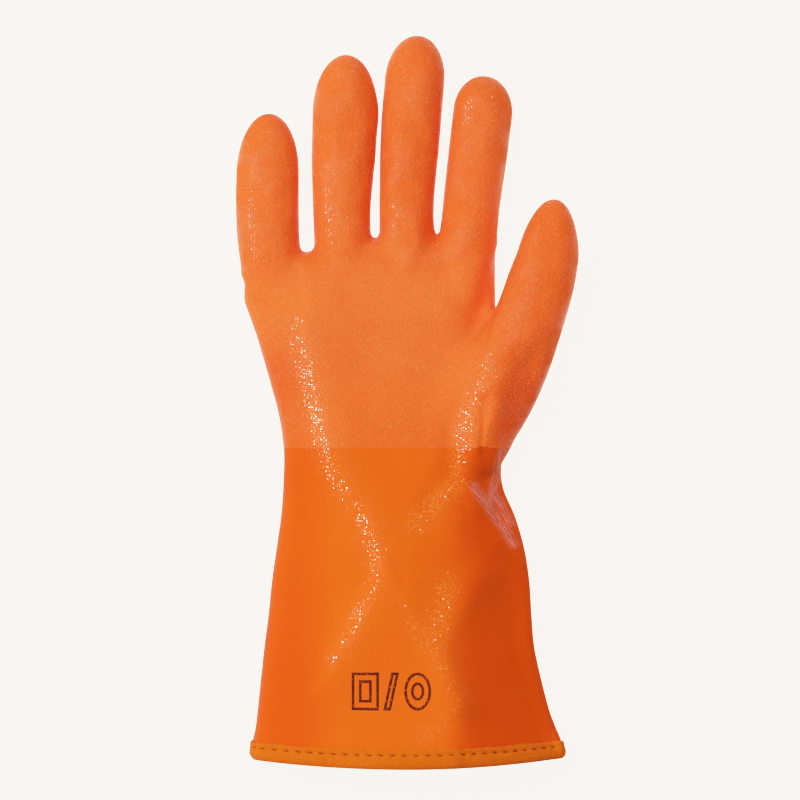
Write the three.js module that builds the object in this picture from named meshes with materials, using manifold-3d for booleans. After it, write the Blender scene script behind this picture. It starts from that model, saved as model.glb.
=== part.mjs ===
// A coated work glove with a long cuff, lying on its back with the palm up. It is a right-hand
// glove: +X towards the thumb, +Y towards the fingertips, +Z up, in millimetres. It is hollow
// right to the fingertips, and a folded tape binds the edge of its cuff.
import * as THREE from "three";
import { mergeVertices } from "three/addons/utils/BufferGeometryUtils.js";
import Module from "manifold-3d";

const wasm = await Module();
wasm.setup();

// Driving dimensions
const wall = 1.9; // the knitted liner and the coats on it
const gap = 0.3; // between neighbouring pieces
const dipLineY = -19.2; // where the second coat of the hand ends
const hem = { bulge: 2.4, bulgeFromY: -100, bulgeFullY: -150, half: 65 };
const tape = { thick: 0.8, outerLeg: 8, innerLeg: 7, fold: 0.5 };

// How square the sections are (2 is an ellipse), how high the trunk's right side rises before it
// bends over onto the palm side (a share of the way to the shoulder's height), and how far in and
// how far down its tighter left side bends.
const trunkSection = { squareness: 2.6, rightRise: 0.45, leftBend: 5.5, leftDrop: 0.13 };
const stallSection = { squareness: 2.17 };
const domeBluntness = 2; // of a stall's end, unless the stall has its own: less is more pointed

// How many faces there are round each form, and how many rings along it.
const around = { trunk: 36, stall: 18 };
const rings = { trunk: 26, trunkEnd: 5, stall: 8, stallEnd: 4 };
const domeSteps = [1, 2, 3, 3.6]; // rings of a stall's end, the last just short of its point
const sparseBelowY = 20; // below this the hollow has only every other ring of the outside
const samePoint = 1e-4; // points closer than this are one

// The trunk, from the cuff's edge to the finger roots: its two sides seen from above, the height
// of its widest line, how high its left side rises before it has bent over (a share of the way to
// the ridge's height), the two shoulders between which its palm side is nearly flat, and the height
// its back would hang to if nothing pressed it flat.
const trunkRows = table(
  ["y", "left", "right", "waist", "leftRise", "ridgeX", "ridgeZ", "shoulderX", "shoulderZ", "back"],
  [
    [-149.6, -64.4, 65.2, 19, 0.8, -30, 45, 26, 46.5, 1.1],
    [-143, -64.5, 64.3, 19, 0.8, -29, 44.6, 24, 46, 1.1],
    [-137, -63.3, 62.2, 19, 0.8, -28, 44.3, 23, 45.5, -0.6],
    [-129, -62.4, 59.4, 19, 0.8, -27, 44, 22, 45, -1.2],
    [-116, -61.1, 56.1, 18.5, 0.8, -24, 43.5, 19, 44, -1.2],
    [-102, -59.6, 53.1, 18, 0.8, -20, 43, 16, 43, -1.2],
    [-88, -57.8, 51.9, 17.5, 0.8, -15, 42.5, 16, 41.5, -1.2],
    [-74, -56.4, 51, 17, 0.8, -12, 42, 19, 40.5, -1.2],
    [-60, -54.4, 48.7, 16.5, 0.8, -12, 41.5, 22, 39.5, -1.2],
    [-47, -52.6, 44.7, 16, 0.8, -17, 40.5, 21, 38.5, -1.2],
    [-34, -51.7, 39.2, 16, 0.79, -25, 39.5, 18, 37.5, -1.2],
    [-20, -51.5, 38.4, 15.5, 0.78, -32, 38.5, 17, 36.5, -1.2],
    [-6, -53.4, 38, 15.5, 0.76, -37, 37.5, 18, 36, -1.2],
    [8, -57.1, 37.4, 15, 0.74, -41, 36.5, 19, 35, -1.2],
    [22, -61, 37, 15, 0.72, -45, 35, 20, 34, -1.2],
    [36, -64.6, 36.7, 15, 0.7, -49, 32, 22, 31.5, -0.6],
    [50, -67.7, 36.5, 15, 0.68, -52, 28, 24, 28, 1.6],
  ],
);

// Beyond its last row the trunk closes in a blunt edge: the webs between the stalls. The edge
// sweeps back towards the little finger, as the webs do.
const webEnd = { length: 18.6, bluntness: 0.2, crestX: 5, sweep: 0.00293, fromY: 26, toY: 69 };

// Each stall's middle line and half sizes, from its root inside the trunk to its last full
// section, and the point of its tip.
const stallColumns = ["x", "y", "z", "half", "deep"];
const stalls = {
  little_finger: {
    root: { x: -50, y: 28, z: 15 },
    rows: table(stallColumns, [
      [-52.5, 38, 16, 9, 10],
      [-55.6, 52, 15.8, 12.4, 11.6],
      [-57.8, 66, 15.6, 12.8, 11.4],
      [-58.4, 80, 16, 13.1, 11],
      [-58.3, 95, 17, 13, 10.6],
    ]),
    tip: { x: -57.4, y: 120.2, z: 20.6 },
  },
  ring_finger: {
    root: { x: -22, y: 30, z: 15 },
    rows: table(stallColumns, [
      [-24, 44, 16.4, 9.5, 11],
      [-26.7, 62, 16, 11.5, 11.9],
      [-27.4, 80, 15.8, 11.9, 11.5],
      [-26.9, 100, 16.4, 13, 11.3],
      [-26, 120.5, 18, 13.5, 10.9],
    ]),
    tip: { x: -25.4, y: 144.6, z: 22.6 },
  },
  middle_finger: {
    root: { x: 0, y: 32, z: 15 },
    rows: table(stallColumns, [
      [0, 46, 16.4, 9.5, 11],
      [-0.2, 64, 16, 11, 11.9],
      [-0.3, 84, 15.8, 11.3, 11.5],
      [1.2, 108, 16.4, 12, 11.2],
      [3, 134, 19, 12.4, 10.7],
    ]),
    tip: { x: 4.8, y: 152.5, z: 22.8 },
  },
  index_finger: {
    root: { x: 22, y: 30, z: 15 },
    rows: table(stallColumns, [
      [23.5, 44, 16.4, 9.5, 11],
      [25, 62, 16, 11.5, 11.9],
      [26.7, 82, 15.8, 11.8, 11.5],
      [29.2, 102, 16.6, 12.2, 11.1],
      [31.4, 120.5, 18.6, 12.3, 10.7],
    ]),
    tip: { x: 31.9, y: 135.7, z: 21.6 },
  },
  thumb: {
    root: { x: 11, y: -56, z: 17 },
    rows: table(stallColumns, [
      [14, -45, 18, 9, 9],
      [19.5, -30, 19.5, 14, 12],
      [26, -15, 22, 16, 13.6],
      [34.2, 1, 24, 17.6, 14.4],
      [42.6, 17, 26, 16.7, 14.6],
      [50.4, 34, 27.5, 14.6, 13.8],
      [55.6, 50, 28.5, 13.9, 12.8],
      [58.4, 60, 29.2, 12.8, 11.9],
    ]),
    tip: { x: 61.6, y: 84.4, z: 32 },
    tipBluntness: 1.5,
  },
};

// Folds of the palm side: a ridge (a height above 0) or a dent along a path of (x, y) points. It
// fades over its width to each side and past its ends, or over its width to the left of its path
// and over its lee to the right, seen along the path.
const folds = [
  {
    name: "soft ridge from the palm's heel over the wrist and down the cuff",
    path: [[-30, -106], [-24, -98], [-13.5, -75], [-12.3, -64], [-18, -47], [-26, -37],
      [-34, -20], [-36.5, -5], [-40.5, 12], [-44, 36]],
    width: 4.5,
    lee: 16,
    height: 2.2,
  },
  {
    name: "ridge that the thumb's side of the cuff falls away from",
    path: [[21.5, -136], [21, -128], [17, -119], [11, -109], [5, -97], [0, -84]],
    width: 18,
    lee: 9,
    height: 2,
  },
  { name: "ridge below the thumb", path: [[34, 6], [33, -18]], width: 5.5, height: 1.5 },
  { name: "wrist dent under the thumb", path: [[31, -32], [35, -42]], width: 6, height: -4 },
  { name: "fold running down the cuff", path: [[40, -40], [47, -62]], width: 4, height: 1.8 },
  { name: "cuff dent", path: [[26, -88], [32, -104]], width: 10, height: -3.5 },
  { name: "cuff dent near the hem", path: [[42, -114], [44, -128]], width: 8, height: -2.5 },
  { name: "dent below the little finger", path: [[-62, 52], [-58, 46]], width: 5, height: -1.5 },
];

// Cuts that divide the one shell into simpler solids, just beyond the webs between the stalls.
const stallCuts = [
  { fromX: -90, toX: -40.6, y: 64.5, names: ["little_finger"] },
  { fromX: -40.6, toX: 60, y: 69.8, names: ["ring_finger", "middle_finger", "index_finger"] },
];
const thumbCut = { x: 37.4, y: 43.2, leanDeg: -16 };

// Blocks that cut the shell reach past it by this much.
const past = { x: 200, y: 200, below: -9, above: 90 };

const coats = {
  hand: { color: 0xe87a35, roughness: 0.45 },
  cuff: { color: 0xe56a14, roughness: 0.32 },
  tape: { color: 0xdd7a1f, roughness: 0.85 },
};

// Rows of values as objects whose keys are the columns' names.
function table(columns, rows) {
  return rows.map((row) => Object.fromEntries(row.map((value, i) => [columns[i], value])));
}

// All columns of a table at t rows from its first, along a smooth curve through the rows.
function between(rows, t) {
  const last = rows.length - 1;
  const i = Math.min(Math.floor(t), last - 1);
  const f = t - i;
  const near = [i - 1, i, i + 1, i + 2].map((k) => rows[THREE.MathUtils.clamp(k, 0, last)]);
  const found = {};
  for (const key of Object.keys(rows[0])) {
    const [a, b, c, d] = near.map((row) => row[key]);
    const start = b * (1 - 3 * f ** 2 + 2 * f ** 3) + ((c - a) / 2) * (f - 2 * f ** 2 + f ** 3);
    const end = c * (3 * f ** 2 - 2 * f ** 3) + ((d - b) / 2) * (f ** 3 - f ** 2);
    found[key] = start + end;
  }
  return found;
}

// One term of a clamped cubic spline with seven control points, at u from 0 to 1.
const knots = [0, 0, 0, 0, 1 / 4, 1 / 2, 3 / 4, 1, 1, 1, 1];
function term(i, degree, u) {
  if (degree === 0) return knots[i] <= u && u < knots[i + 1] ? 1 : 0;
  const rise = knots[i + degree] - knots[i];
  const fall = knots[i + degree + 1] - knots[i + 1];
  const rising = rise ? ((u - knots[i]) / rise) * term(i, degree - 1, u) : 0;
  const falling = fall ? ((knots[i + degree + 1] - u) / fall) * term(i + 1, degree - 1, u) : 0;
  return rising + falling;
}

function spline(points, u) {
  const at = new THREE.Vector2();
  points.forEach(([x, z], i) => at.add(new THREE.Vector2(x, z).multiplyScalar(term(i, 3, u))));
  return at;
}

// The sine or cosine of a superellipse's turn.
function squared(value, squareness) {
  return Math.sign(value) * Math.abs(value) ** (2 / squareness);
}

// How far (x, y) lies from the nearest line of a path, and whether it lies to the right of that
// line, seen along the path.
function nearestOf(path, x, y) {
  const lines = path.slice(1).map(([x2, y2], i) => {
    const [x1, y1] = path[i];
    const [dx, dy] = [x2 - x1, y2 - y1];
    const along = THREE.MathUtils.clamp(((x - x1) * dx + (y - y1) * dy) / (dx * dx + dy * dy), 0, 1);
    const away = Math.hypot(x - x1 - along * dx, y - y1 - along * dy);
    return { away, toRight: (y - y1) * dx < (x - x1) * dy };
  });
  return lines.reduce((nearest, line) => (line.away < nearest.away ? line : nearest));
}

// How far the folds raise or lower the palm side at (x, y).
function foldHeight(x, y) {
  const heights = folds.map(({ path, width, lee = width, height }) => {
    const { away, toRight } = nearestOf(path, x, y);
    const share = away / (toRight ? lee : width);
    return height * Math.exp(-share * share);
  });
  return heights.reduce((sum, height) => sum + height, 0);
}

// The cuff's edge bows out in the middle, and the bow fades up the cuff.
function bowed(x, y) {
  const share = THREE.MathUtils.clamp((y - hem.bulgeFromY) / (hem.bulgeFullY - hem.bulgeFromY), 0, 1);
  return y - hem.bulge * share * share * (1 - (x / hem.half) ** 2);
}

// One closed section of the trunk: a spline over the palm side's two shoulders, then a
// superellipse below, cut off flat where it lies on the surface. thin closes it up towards its
// widest line.
function trunkRing(row, thin = 1) {
  const middle = (row.left + row.right) / 2;
  const half = (row.right - row.left) / 2;
  const palmSide = [
    [row.right, row.waist],
    [row.right, THREE.MathUtils.lerp(row.waist, row.shoulderZ, trunkSection.rightRise)],
    [row.shoulderX, row.shoulderZ],
    [row.ridgeX, row.ridgeZ],
    [row.left + trunkSection.leftBend, THREE.MathUtils.lerp(row.waist, row.ridgeZ, row.leftRise)],
    [row.left, THREE.MathUtils.lerp(row.waist, row.ridgeZ, row.leftRise - trunkSection.leftDrop)],
    [row.left, row.waist],
  ];
  return Array.from({ length: around.trunk }, (_, k) => {
    const turn = (2 * Math.PI * k) / around.trunk;
    if (turn < Math.PI) {
      const at = spline(palmSide, (1 - Math.cos(turn)) / 2);
      const folded = foldHeight(at.x, row.y) * Math.sqrt(Math.sin(turn));
      const z = row.waist + (at.y - row.waist + folded) * thin;
      return new THREE.Vector3(at.x, bowed(at.x, row.y), z);
    }
    const x = middle + half * squared(Math.cos(turn), trunkSection.squareness);
    const depth = (row.waist - row.back) * thin * squared(-Math.sin(turn), trunkSection.squareness);
    return new THREE.Vector3(x, bowed(x, row.y), Math.max(row.waist - depth, 0));
  });
}

// Every ring of the trunk, to the webs.
function trunkForm() {
  const last = trunkRows.at(-1);
  const form = [];
  for (let i = 0; i <= rings.trunk; i++)
    form.push(trunkRing(between(trunkRows, (i / rings.trunk) * (trunkRows.length - 1))));
  for (let i = 1; i <= rings.trunkEnd; i++) {
    const turn = (i / rings.trunkEnd) * (Math.PI / 2);
    const closing = squared(Math.cos(turn), trunkSection.squareness);
    const y = last.y + webEnd.length * squared(Math.sin(turn), trunkSection.squareness);
    form.push(trunkRing({ ...last, y }, THREE.MathUtils.lerp(webEnd.bluntness, 1, closing)));
  }
  for (const point of form.flat()) {
    const share = THREE.MathUtils.clamp((point.y - webEnd.fromY) / (webEnd.toY - webEnd.fromY), 0, 1);
    point.y -= webEnd.sweep * share * (point.x - webEnd.crestX) ** 2;
  }
  return form;
}

// Every ring of a stall: a closed root end, its rows, and a domed tip.
function stallForm({ root, rows, tip, tipBluntness = domeBluntness }) {
  const domed = (row, end, turn, bluntness = domeBluntness) => {
    const share = squared(Math.sin(turn), bluntness);
    return {
      x: THREE.MathUtils.lerp(row.x, end.x, share),
      y: THREE.MathUtils.lerp(row.y, end.y, share),
      z: THREE.MathUtils.lerp(row.z, end.z, share),
      half: row.half * Math.cos(turn),
      deep: row.deep * Math.cos(turn),
    };
  };
  const turns = domeSteps.map((i) => (i / rings.stallEnd) * (Math.PI / 2));
  const sections = turns.slice(0, -1).map((turn) => domed(rows[0], root, turn));
  sections.reverse();
  for (let i = 0; i <= rings.stall; i++)
    sections.push(between(rows, (i / rings.stall) * (rows.length - 1)));
  sections.push(...turns.map((turn) => domed(rows.at(-1), tip, turn, tipBluntness)));
  const middles = sections.map(({ x, y, z }) => new THREE.Vector3(x, y, z));
  return sections.map(({ half, deep }, i) => {
    const ahead = middles[Math.min(i + 1, middles.length - 1)];
    const behind = middles[Math.max(i - 1, 0)];
    const along = ahead.clone().sub(behind).normalize();
    const side = along.clone().cross(new THREE.Vector3(0, 0, 1)).normalize();
    const up = side.clone().cross(along);
    return Array.from({ length: around.stall }, (_, k) => {
      const turn = (2 * Math.PI * k) / around.stall;
      const across = squared(Math.cos(turn), stallSection.squareness);
      const over = squared(Math.sin(turn), stallSection.squareness);
      const point = middles[i].clone();
      point.addScaledVector(side, half * across).addScaledVector(up, deep * over);
      point.z = Math.max(point.z + foldHeight(point.x, point.y) * Math.max(over, 0), 0);
      return point;
    });
  });
}

// The same form moved inwards by a distance, along the normals of the surface through its rings.
function inset(form, distance) {
  return form.map((ring, j) => {
    const ahead = form[Math.min(j + 1, form.length - 1)];
    const behind = form[Math.max(j - 1, 0)];
    return ring.map((point, k) => {
      const next = ring[(k + 1) % ring.length];
      const previous = ring[(k + ring.length - 1) % ring.length];
      const outward = ahead[k].clone().sub(behind[k]).cross(next.clone().sub(previous)).normalize();
      return point.clone().addScaledVector(outward, -distance);
    });
  });
}

// A closed solid through the rings of a form, with a point in the middle of each end.
function solidThrough(form, start = middleOf(form[0]), end = middleOf(form.at(-1))) {
  const n = form[0].length;
  const startAt = form.length * n;
  const endAt = startAt + 1;
  const faces = [];
  for (let k = 0; k < n; k++) {
    const next = (k + 1) % n;
    faces.push(startAt, k, next, endAt, startAt - n + next, startAt - n + k);
    for (let j = 0; j + 1 < form.length; j++) {
      const [a, b] = [j * n + k, j * n + next];
      faces.push(a, b + n, b, a, a + n, b + n);
    }
  }
  return solidOf(new THREE.BufferGeometry().setFromPoints([...form.flat(), start, end]).setIndex(faces));
}

function middleOf(ring) {
  return ring.reduce((sum, point) => sum.add(point), new THREE.Vector3()).divideScalar(ring.length);
}

function solidOf(geometry) {
  geometry.deleteAttribute("normal");
  geometry.deleteAttribute("uv");
  const merged = mergeVertices(geometry, samePoint);
  const vertProperties = new Float32Array(merged.attributes.position.array);
  const triVerts = new Uint32Array(merged.index.array);
  return new wasm.Manifold(new wasm.Mesh({ numProp: 3, vertProperties, triVerts }));
}

// A block between two corners, in a frame of its own.
function block(from, to, frame = new THREE.Matrix4()) {
  const size = to.clone().sub(from);
  const middle = from.clone().add(to).divideScalar(2);
  const box = new THREE.BoxGeometry(size.x, size.y, size.z).translate(middle.x, middle.y, middle.z);
  return solidOf(box.applyMatrix4(frame));
}

// The largest body of a solid: slivers of air sealed between two surfaces that meet are filled.
function largest(solid) {
  return solid.decompose().sort((a, b) => b.volume() - a.volume())[0];
}

// Whether a point lies in a body's bounding box, seen from above.
function reaches(body, { x, y }) {
  const { min, max } = body.boundingBox();
  return min[0] < x && x < max[0] && min[1] < y && y < max[1];
}

// The one shell: every outer form joined, less every inner form joined.
function gloveShell() {
  const trunk = trunkForm();
  const hollow = inset(trunk, wall);
  const sparse = hollow.filter((ring, j) => j % 2 === 0 || ring[0].y > sparseBelowY);
  const mouth = hollow[0].map((point) => point.clone().setY(point.y - tape.outerLeg));
  let outer = solidThrough(trunk);
  let inner = solidThrough([mouth, ...sparse.slice(0, -1)]);
  for (const stall of Object.values(stalls)) {
    const form = stallForm(stall);
    const root = new THREE.Vector3().copy(stall.root);
    const tip = new THREE.Vector3().copy(stall.tip);
    const innerTip = tip.clone().add(new THREE.Vector3().copy(stall.rows.at(-1)).sub(tip).setLength(wall));
    outer = outer.add(solidThrough(form, root, tip));
    inner = inner.add(solidThrough(inset(form, wall), root, innerTip));
  }
  return outer.subtract(inner);
}

// The tape folded over the cuff's edge: a U section carried round the cuff's own section.
function hemBinding() {
  const outside = gap + tape.thick;
  const inside = -wall - gap - tape.thick;
  const bottom = -gap - tape.thick;
  const section = [
    { up: bottom + tape.outerLeg, out: gap },
    { up: bottom + tape.outerLeg, out: outside },
    { up: bottom + tape.outerLeg / 2, out: outside },
    { up: bottom + tape.fold, out: outside },
    { up: bottom, out: outside - tape.fold },
    { up: bottom, out: inside + tape.fold },
    { up: bottom + tape.fold, out: inside },
    { up: bottom + tape.innerLeg, out: inside },
    { up: bottom + tape.innerLeg, out: inside + tape.thick },
    { up: -gap, out: inside + tape.thick },
    { up: -gap, out: gap },
  ];
  const [edgeRow, upRow] = trunkRows;
  const edge = trunkRing(edgeRow);
  const above = trunkRing(upRow);
  const n = edge.length;
  const m = section.length;
  const form = edge.map((point, k) => {
    const [next, previous] = [edge[(k + 1) % n], edge[(k + n - 1) % n]];
    const outward = new THREE.Vector3(next.z - previous.z, 0, previous.x - next.x).normalize();
    return section.map(({ up, out }) => {
      const at = point.clone().lerp(above[k], up / (upRow.y - edgeRow.y));
      return at.setY(point.y + up).addScaledVector(outward, out);
    });
  });
  const faces = [];
  for (let k = 0; k < n; k++)
    for (let j = 0; j < m; j++) {
      const [here, beyond] = [k * m, ((k + 1) % n) * m];
      const [a, b, c, d] = [here + j, here + ((j + 1) % m), beyond + ((j + 1) % m), beyond + j];
      faces.push(a, c, b, a, d, c);
    }
  return solidOf(new THREE.BufferGeometry().setFromPoints(form.flat()).setIndex(faces));
}

// The shell beyond one of the stall cuts, moved back by an amount.
function beyondCut({ fromX, toX, y }, back = 0) {
  const from = new THREE.Vector3(fromX, y - back, past.below);
  return block(from, new THREE.Vector3(toX, past.y, past.above));
}

// The thumb's side of its cut, which is square to the thumb's own axis.
function beyondThumbCut(back = 0) {
  const lean = THREE.MathUtils.degToRad(thumbCut.leanDeg);
  const frame = new THREE.Matrix4().makeRotationZ(lean).setPosition(thumbCut.x, thumbCut.y, 0);
  const from = new THREE.Vector3(0, -back, past.below);
  return block(from, new THREE.Vector3(past.x, past.y, past.above), frame);
}

// A slice of the room from one Y to another.
function slice(fromY, toY) {
  const from = new THREE.Vector3(-past.x, fromY, past.below);
  return block(from, new THREE.Vector3(past.x, toY, past.above));
}

function pieceOf(name, solid, coat) {
  const made = solid.getMesh();
  const geometry = new THREE.BufferGeometry()
    .setAttribute("position", new THREE.BufferAttribute(made.vertProperties, made.numProp))
    .setIndex(new THREE.BufferAttribute(made.triVerts, 1));
  geometry.computeVertexNormals();
  const piece = new THREE.Mesh(geometry, new THREE.MeshStandardMaterial({ ...coat, metalness: 0 }));
  piece.name = name;
  return piece;
}

const glove = new THREE.Group();
const shell = gloveShell();
glove.add(pieceOf("thumb", shell.intersect(beyondThumbCut()), coats.hand));

let hand = shell.subtract(beyondThumbCut(gap));
for (const cut of stallCuts) {
  const cutOff = hand.intersect(beyondCut(cut)).decompose();
  for (const name of cut.names) {
    const stall = cutOff.find((body) => reaches(body, stalls[name].rows.at(-1)));
    glove.add(pieceOf(name, stall, coats.hand));
  }
  hand = hand.subtract(beyondCut(cut, gap));
}

glove.add(pieceOf("palm", largest(hand.intersect(slice(dipLineY + gap, past.y))), coats.hand));
glove.add(pieceOf("gauntlet", shell.intersect(slice(-past.y, dipLineY)), coats.cuff));
glove.add(pieceOf("hem_binding", hemBinding(), coats.tape));

export default glove;
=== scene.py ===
"""A coated work glove with a long cuff, lying on its back with the palm up, in metres.

The hand with its second coat and the cuff are two pieces of one surface. It is worked out from the
same named sizes as the solid model: a trunk and five stalls, each a field of distances, joined
smoothly. A folded tape with its stitches and a printed size mark complete the glove.
"""
from contextlib import contextmanager

import bmesh
import bpy
import numpy as np
import openvdb
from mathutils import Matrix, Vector


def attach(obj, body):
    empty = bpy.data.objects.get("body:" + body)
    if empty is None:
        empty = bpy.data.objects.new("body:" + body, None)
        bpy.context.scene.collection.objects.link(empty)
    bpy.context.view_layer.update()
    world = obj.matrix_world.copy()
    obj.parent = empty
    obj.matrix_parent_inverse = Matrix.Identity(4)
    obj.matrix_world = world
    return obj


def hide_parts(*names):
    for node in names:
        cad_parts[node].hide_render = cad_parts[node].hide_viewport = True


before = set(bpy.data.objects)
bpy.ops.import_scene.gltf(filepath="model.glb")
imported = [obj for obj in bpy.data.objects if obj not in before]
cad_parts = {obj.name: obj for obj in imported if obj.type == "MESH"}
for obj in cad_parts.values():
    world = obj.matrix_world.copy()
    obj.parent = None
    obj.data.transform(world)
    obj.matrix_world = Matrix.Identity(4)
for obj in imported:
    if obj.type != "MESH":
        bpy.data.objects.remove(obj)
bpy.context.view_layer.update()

bl_info = {
    "name": "Coated gauntlet glove",
    "version": (1, 0, 0),
    "blender": (4, 5, 0),
    "location": "3D View > Sidebar > Glove",
    "description": "Builds a coated work glove with a long cuff, piece by piece",
    "category": "Object",
}

MM = 0.001  # the form is worked out in millimetres, and its meshes are in metres


def columns(names, rows):
    """A table whose columns have names."""
    return np.array([tuple(row) for row in rows], dtype=[(name, float) for name in names.split()])


# The trunk, from the cuff's edge to the finger roots: its two sides seen from above, the height of
# its widest line, how high its left side rises before it has bent over, as a share of the way to
# the ridge's height, the two shoulders between which its palm side is nearly flat, and the height
# its back would hang to if nothing pressed it flat.
TRUNK = columns("y left right waist rise ridge_x ridge_z shoulder_x shoulder_z back", [
    (-149.6, -64.4, 65.2, 19, 0.92, -30, 45, 26, 46.5, 1.1),
    (-143, -64.5, 64.3, 19, 0.92, -29, 44.6, 24, 46, 1.1),
    (-137, -63.3, 62.2, 19, 0.92, -28, 44.3, 23, 45.5, -0.6),
    (-129, -62.4, 59.4, 19, 0.92, -27, 44, 22, 45, -1.2),
    (-116, -61.1, 56.1, 18.5, 0.92, -24, 43.5, 19, 44, -1.2),
    (-102, -59.6, 53.1, 18, 0.92, -20, 43, 16, 43, -1.2),
    (-88, -57.8, 51.9, 17.5, 0.92, -15, 42.5, 16, 41.5, -1.2),
    (-74, -56.4, 51, 17, 0.92, -12, 42, 19, 40.5, -1.2),
    (-60, -54.4, 48.7, 16.5, 0.92, -12, 41.5, 22, 39.5, -1.2),
    (-47, -52.6, 44.7, 16, 0.92, -17, 40.5, 21, 38.5, -1.2),
    (-34, -51.7, 39.2, 16, 0.91, -25, 39.5, 18, 37.5, -1.2),
    (-20, -51.5, 38.4, 15.5, 0.89, -32, 38.5, 17, 36.5, -1.2),
    (-6, -53.4, 38, 15.5, 0.86, -37, 37.5, 18, 36, -1.2),
    (8, -57.1, 37.4, 15, 0.8, -41, 36.5, 19, 35, -1.2),
    (22, -61, 37, 15, 0.77, -45, 35, 20, 34, -1.2),
    (36, -64.6, 36.7, 15, 0.74, -49, 32, 22, 31.5, -0.6),
    (50, -67.7, 36.5, 15, 0.68, -52, 28, 24, 28, 1.6),
])
TRUNK_SECTION = {
    "squareness": 2.6, "right_rise": 0.45, "left_bend": 3.8, "left_drop": 0.13, "depth": 20,
}
WEB_END = {
    "length": 18.6, "bluntness": 0.2, "crest_x": 5, "sweep": 0.00293, "from_y": 26, "to_y": 69,
}
HEM = {"bulge": 1.9, "end_rise": 2.3, "bulge_from_y": -100, "bulge_full_y": -150, "half": 65}
DIP_LINE_Y = -19.2

# Each stall's middle line and half sizes, from its root inside the trunk to its last full section,
# and the points where its two domed ends close. A bluntness below 2 makes an end more pointed.
STALL_SQUARENESS = 2.17
DOME_BLUNTNESS = 2
STALL_COLUMNS = "x y z half deep"
STALLS = {
    "little_finger": {
        "root": (-50, 28, 15),
        "rows": columns(STALL_COLUMNS, [
            (-52.5, 38, 16, 9, 10),
            (-55.6, 52, 15.8, 12.4, 11.6),
            (-57.8, 66, 15.6, 12.8, 11.4),
            (-58.4, 80, 16, 13.1, 11),
            (-58.3, 95, 17, 13, 10.6),
        ]),
        "tip": (-57.4, 120.2, 20.6),
    },
    "ring_finger": {
        "root": (-22, 30, 15),
        "rows": columns(STALL_COLUMNS, [
            (-24, 44, 16.4, 9.5, 11),
            (-26.7, 62, 16, 11.5, 11.9),
            (-27.4, 80, 15.8, 11.9, 11.5),
            (-26.9, 100, 16.4, 13, 11.3),
            (-26, 120.5, 18, 13.5, 10.9),
        ]),
        "tip": (-25.4, 144.6, 22.6),
    },
    "middle_finger": {
        "root": (0, 32, 15),
        "rows": columns(STALL_COLUMNS, [
            (0, 46, 16.4, 9.5, 11),
            (-0.2, 64, 16, 11, 11.9),
            (-0.3, 84, 15.8, 11.3, 11.5),
            (1.2, 108, 16.4, 12, 11.2),
            (3, 134, 19, 12.4, 10.7),
        ]),
        "tip": (4.8, 152.5, 22.8),
    },
    "index_finger": {
        "root": (22, 30, 15),
        "rows": columns(STALL_COLUMNS, [
            (23.5, 44, 16.4, 9.5, 11),
            (25, 62, 16, 11.5, 11.9),
            (26.7, 82, 15.8, 11.8, 11.5),
            (29.2, 102, 16.6, 12.2, 11.1),
            (31.4, 120.5, 18.6, 12.3, 10.7),
        ]),
        "tip": (31.9, 135.7, 21.6),
    },
    "thumb": {
        "root": (11, -56, 17),
        "rows": columns(STALL_COLUMNS, [
            (14, -45, 18, 9, 9),
            (19.5, -30, 19.5, 14, 12),
            (26, -15, 22, 16, 13.6),
            (34.2, 1, 24, 17.6, 14.4),
            (42.6, 17, 26, 16.7, 14.6),
            (50.4, 34, 27.5, 14.6, 13.8),
            (55.6, 50, 28.5, 13.9, 12.8),
            (58.4, 60, 29.2, 12.8, 11.9),
        ]),
        "tip": (61.6, 84.4, 32),
        "bluntness": 1.5,
        "root_rounding": {"wide": 10, "narrow_y": 34},
    },
}

# Folds of the palm side. Each row gives its name, how far it fades to the left of its path and to the
# right, seen along the path and past its ends, its height (a dent's is below 0), and its path of
# (x, y) points.
FOLDS = [
    ("soft ridge from the palm's heel over the wrist and down the cuff", 4.5, 16, 2.8,
     [(-28.5, -106), (-22, -98), (-10.7, -75), (-9.5, -64), (-15.5, -46), (-23.5, -36), (-31.5, -20),
      (-34.3, -5), (-38.5, 12), (-42, 36)]),
    ("ridge that the thumb's side of the cuff falls away from", 18, 9, 2,
     [(21.5, -136), (21, -128), (17, -119), (11, -109), (5, -97), (0, -84)]),
    ("ridge below the thumb", 5.5, 5.5, 1.5, [(34, 6), (33, -18)]),
    ("wrist dent under the thumb", 5, 11, -4.2, [(33, -33), (38, -45)]),
    ("crest that the thumb's side of the cuff drops from", 7, 9, 3,
     [(33, -70), (24, -84), (17, -98), (18, -112), (22, -124)]),
    ("fold that runs round the wrist dent and on down the cuff", 1.7, 6, 1.6,
     [(33, -14), (30.4, -24), (28.3, -35), (32, -42), (36, -47), (41, -55), (47, -62)]),
    ("fold into the wrist dent", 1.5, 1.5, 1, [(39.6, -20), (36.4, -31), (34.4, -37)]),
    ("fold beside the wrist dent", 1.8, 1.8, 1.2, [(39, -37), (42, -46), (45, -50)]),
    ("hollow along the thumb's side of the cuff", 6, 26, -11,
     [(50, -70), (53, -98), (57, -118), (61, -136)]),
    ("hollow on the outer side of the thumb's heel", 7, 7, -4, [(50, 14), (47, 0), (42, -15)]),
    ("dent beside the thumb's crotch", 7, 2.5, -3, [(31, 35), (35, 43)]),
    ("edge of the thumb over the palm", 8, 1.7, 1.1, [(37, 42), (33, 34), (31.5, 23)]),
    ("shallow valley beside the thumb's heel", 4.5, 4.5, -1.2,
     [(24, 3), (18, -15), (18, -27), (9, -41)]),
    ("rise at the wrist", 3.5, 10, 1.5, [(25, -36), (24, -29)]),
    ("dent below the little finger", 5, 5, -1.5, [(-62, 52), (-58, 46)]),
]
FOLD_GROWTH = (9, 22)  # heights between which a fold grows to all of its depth

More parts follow.
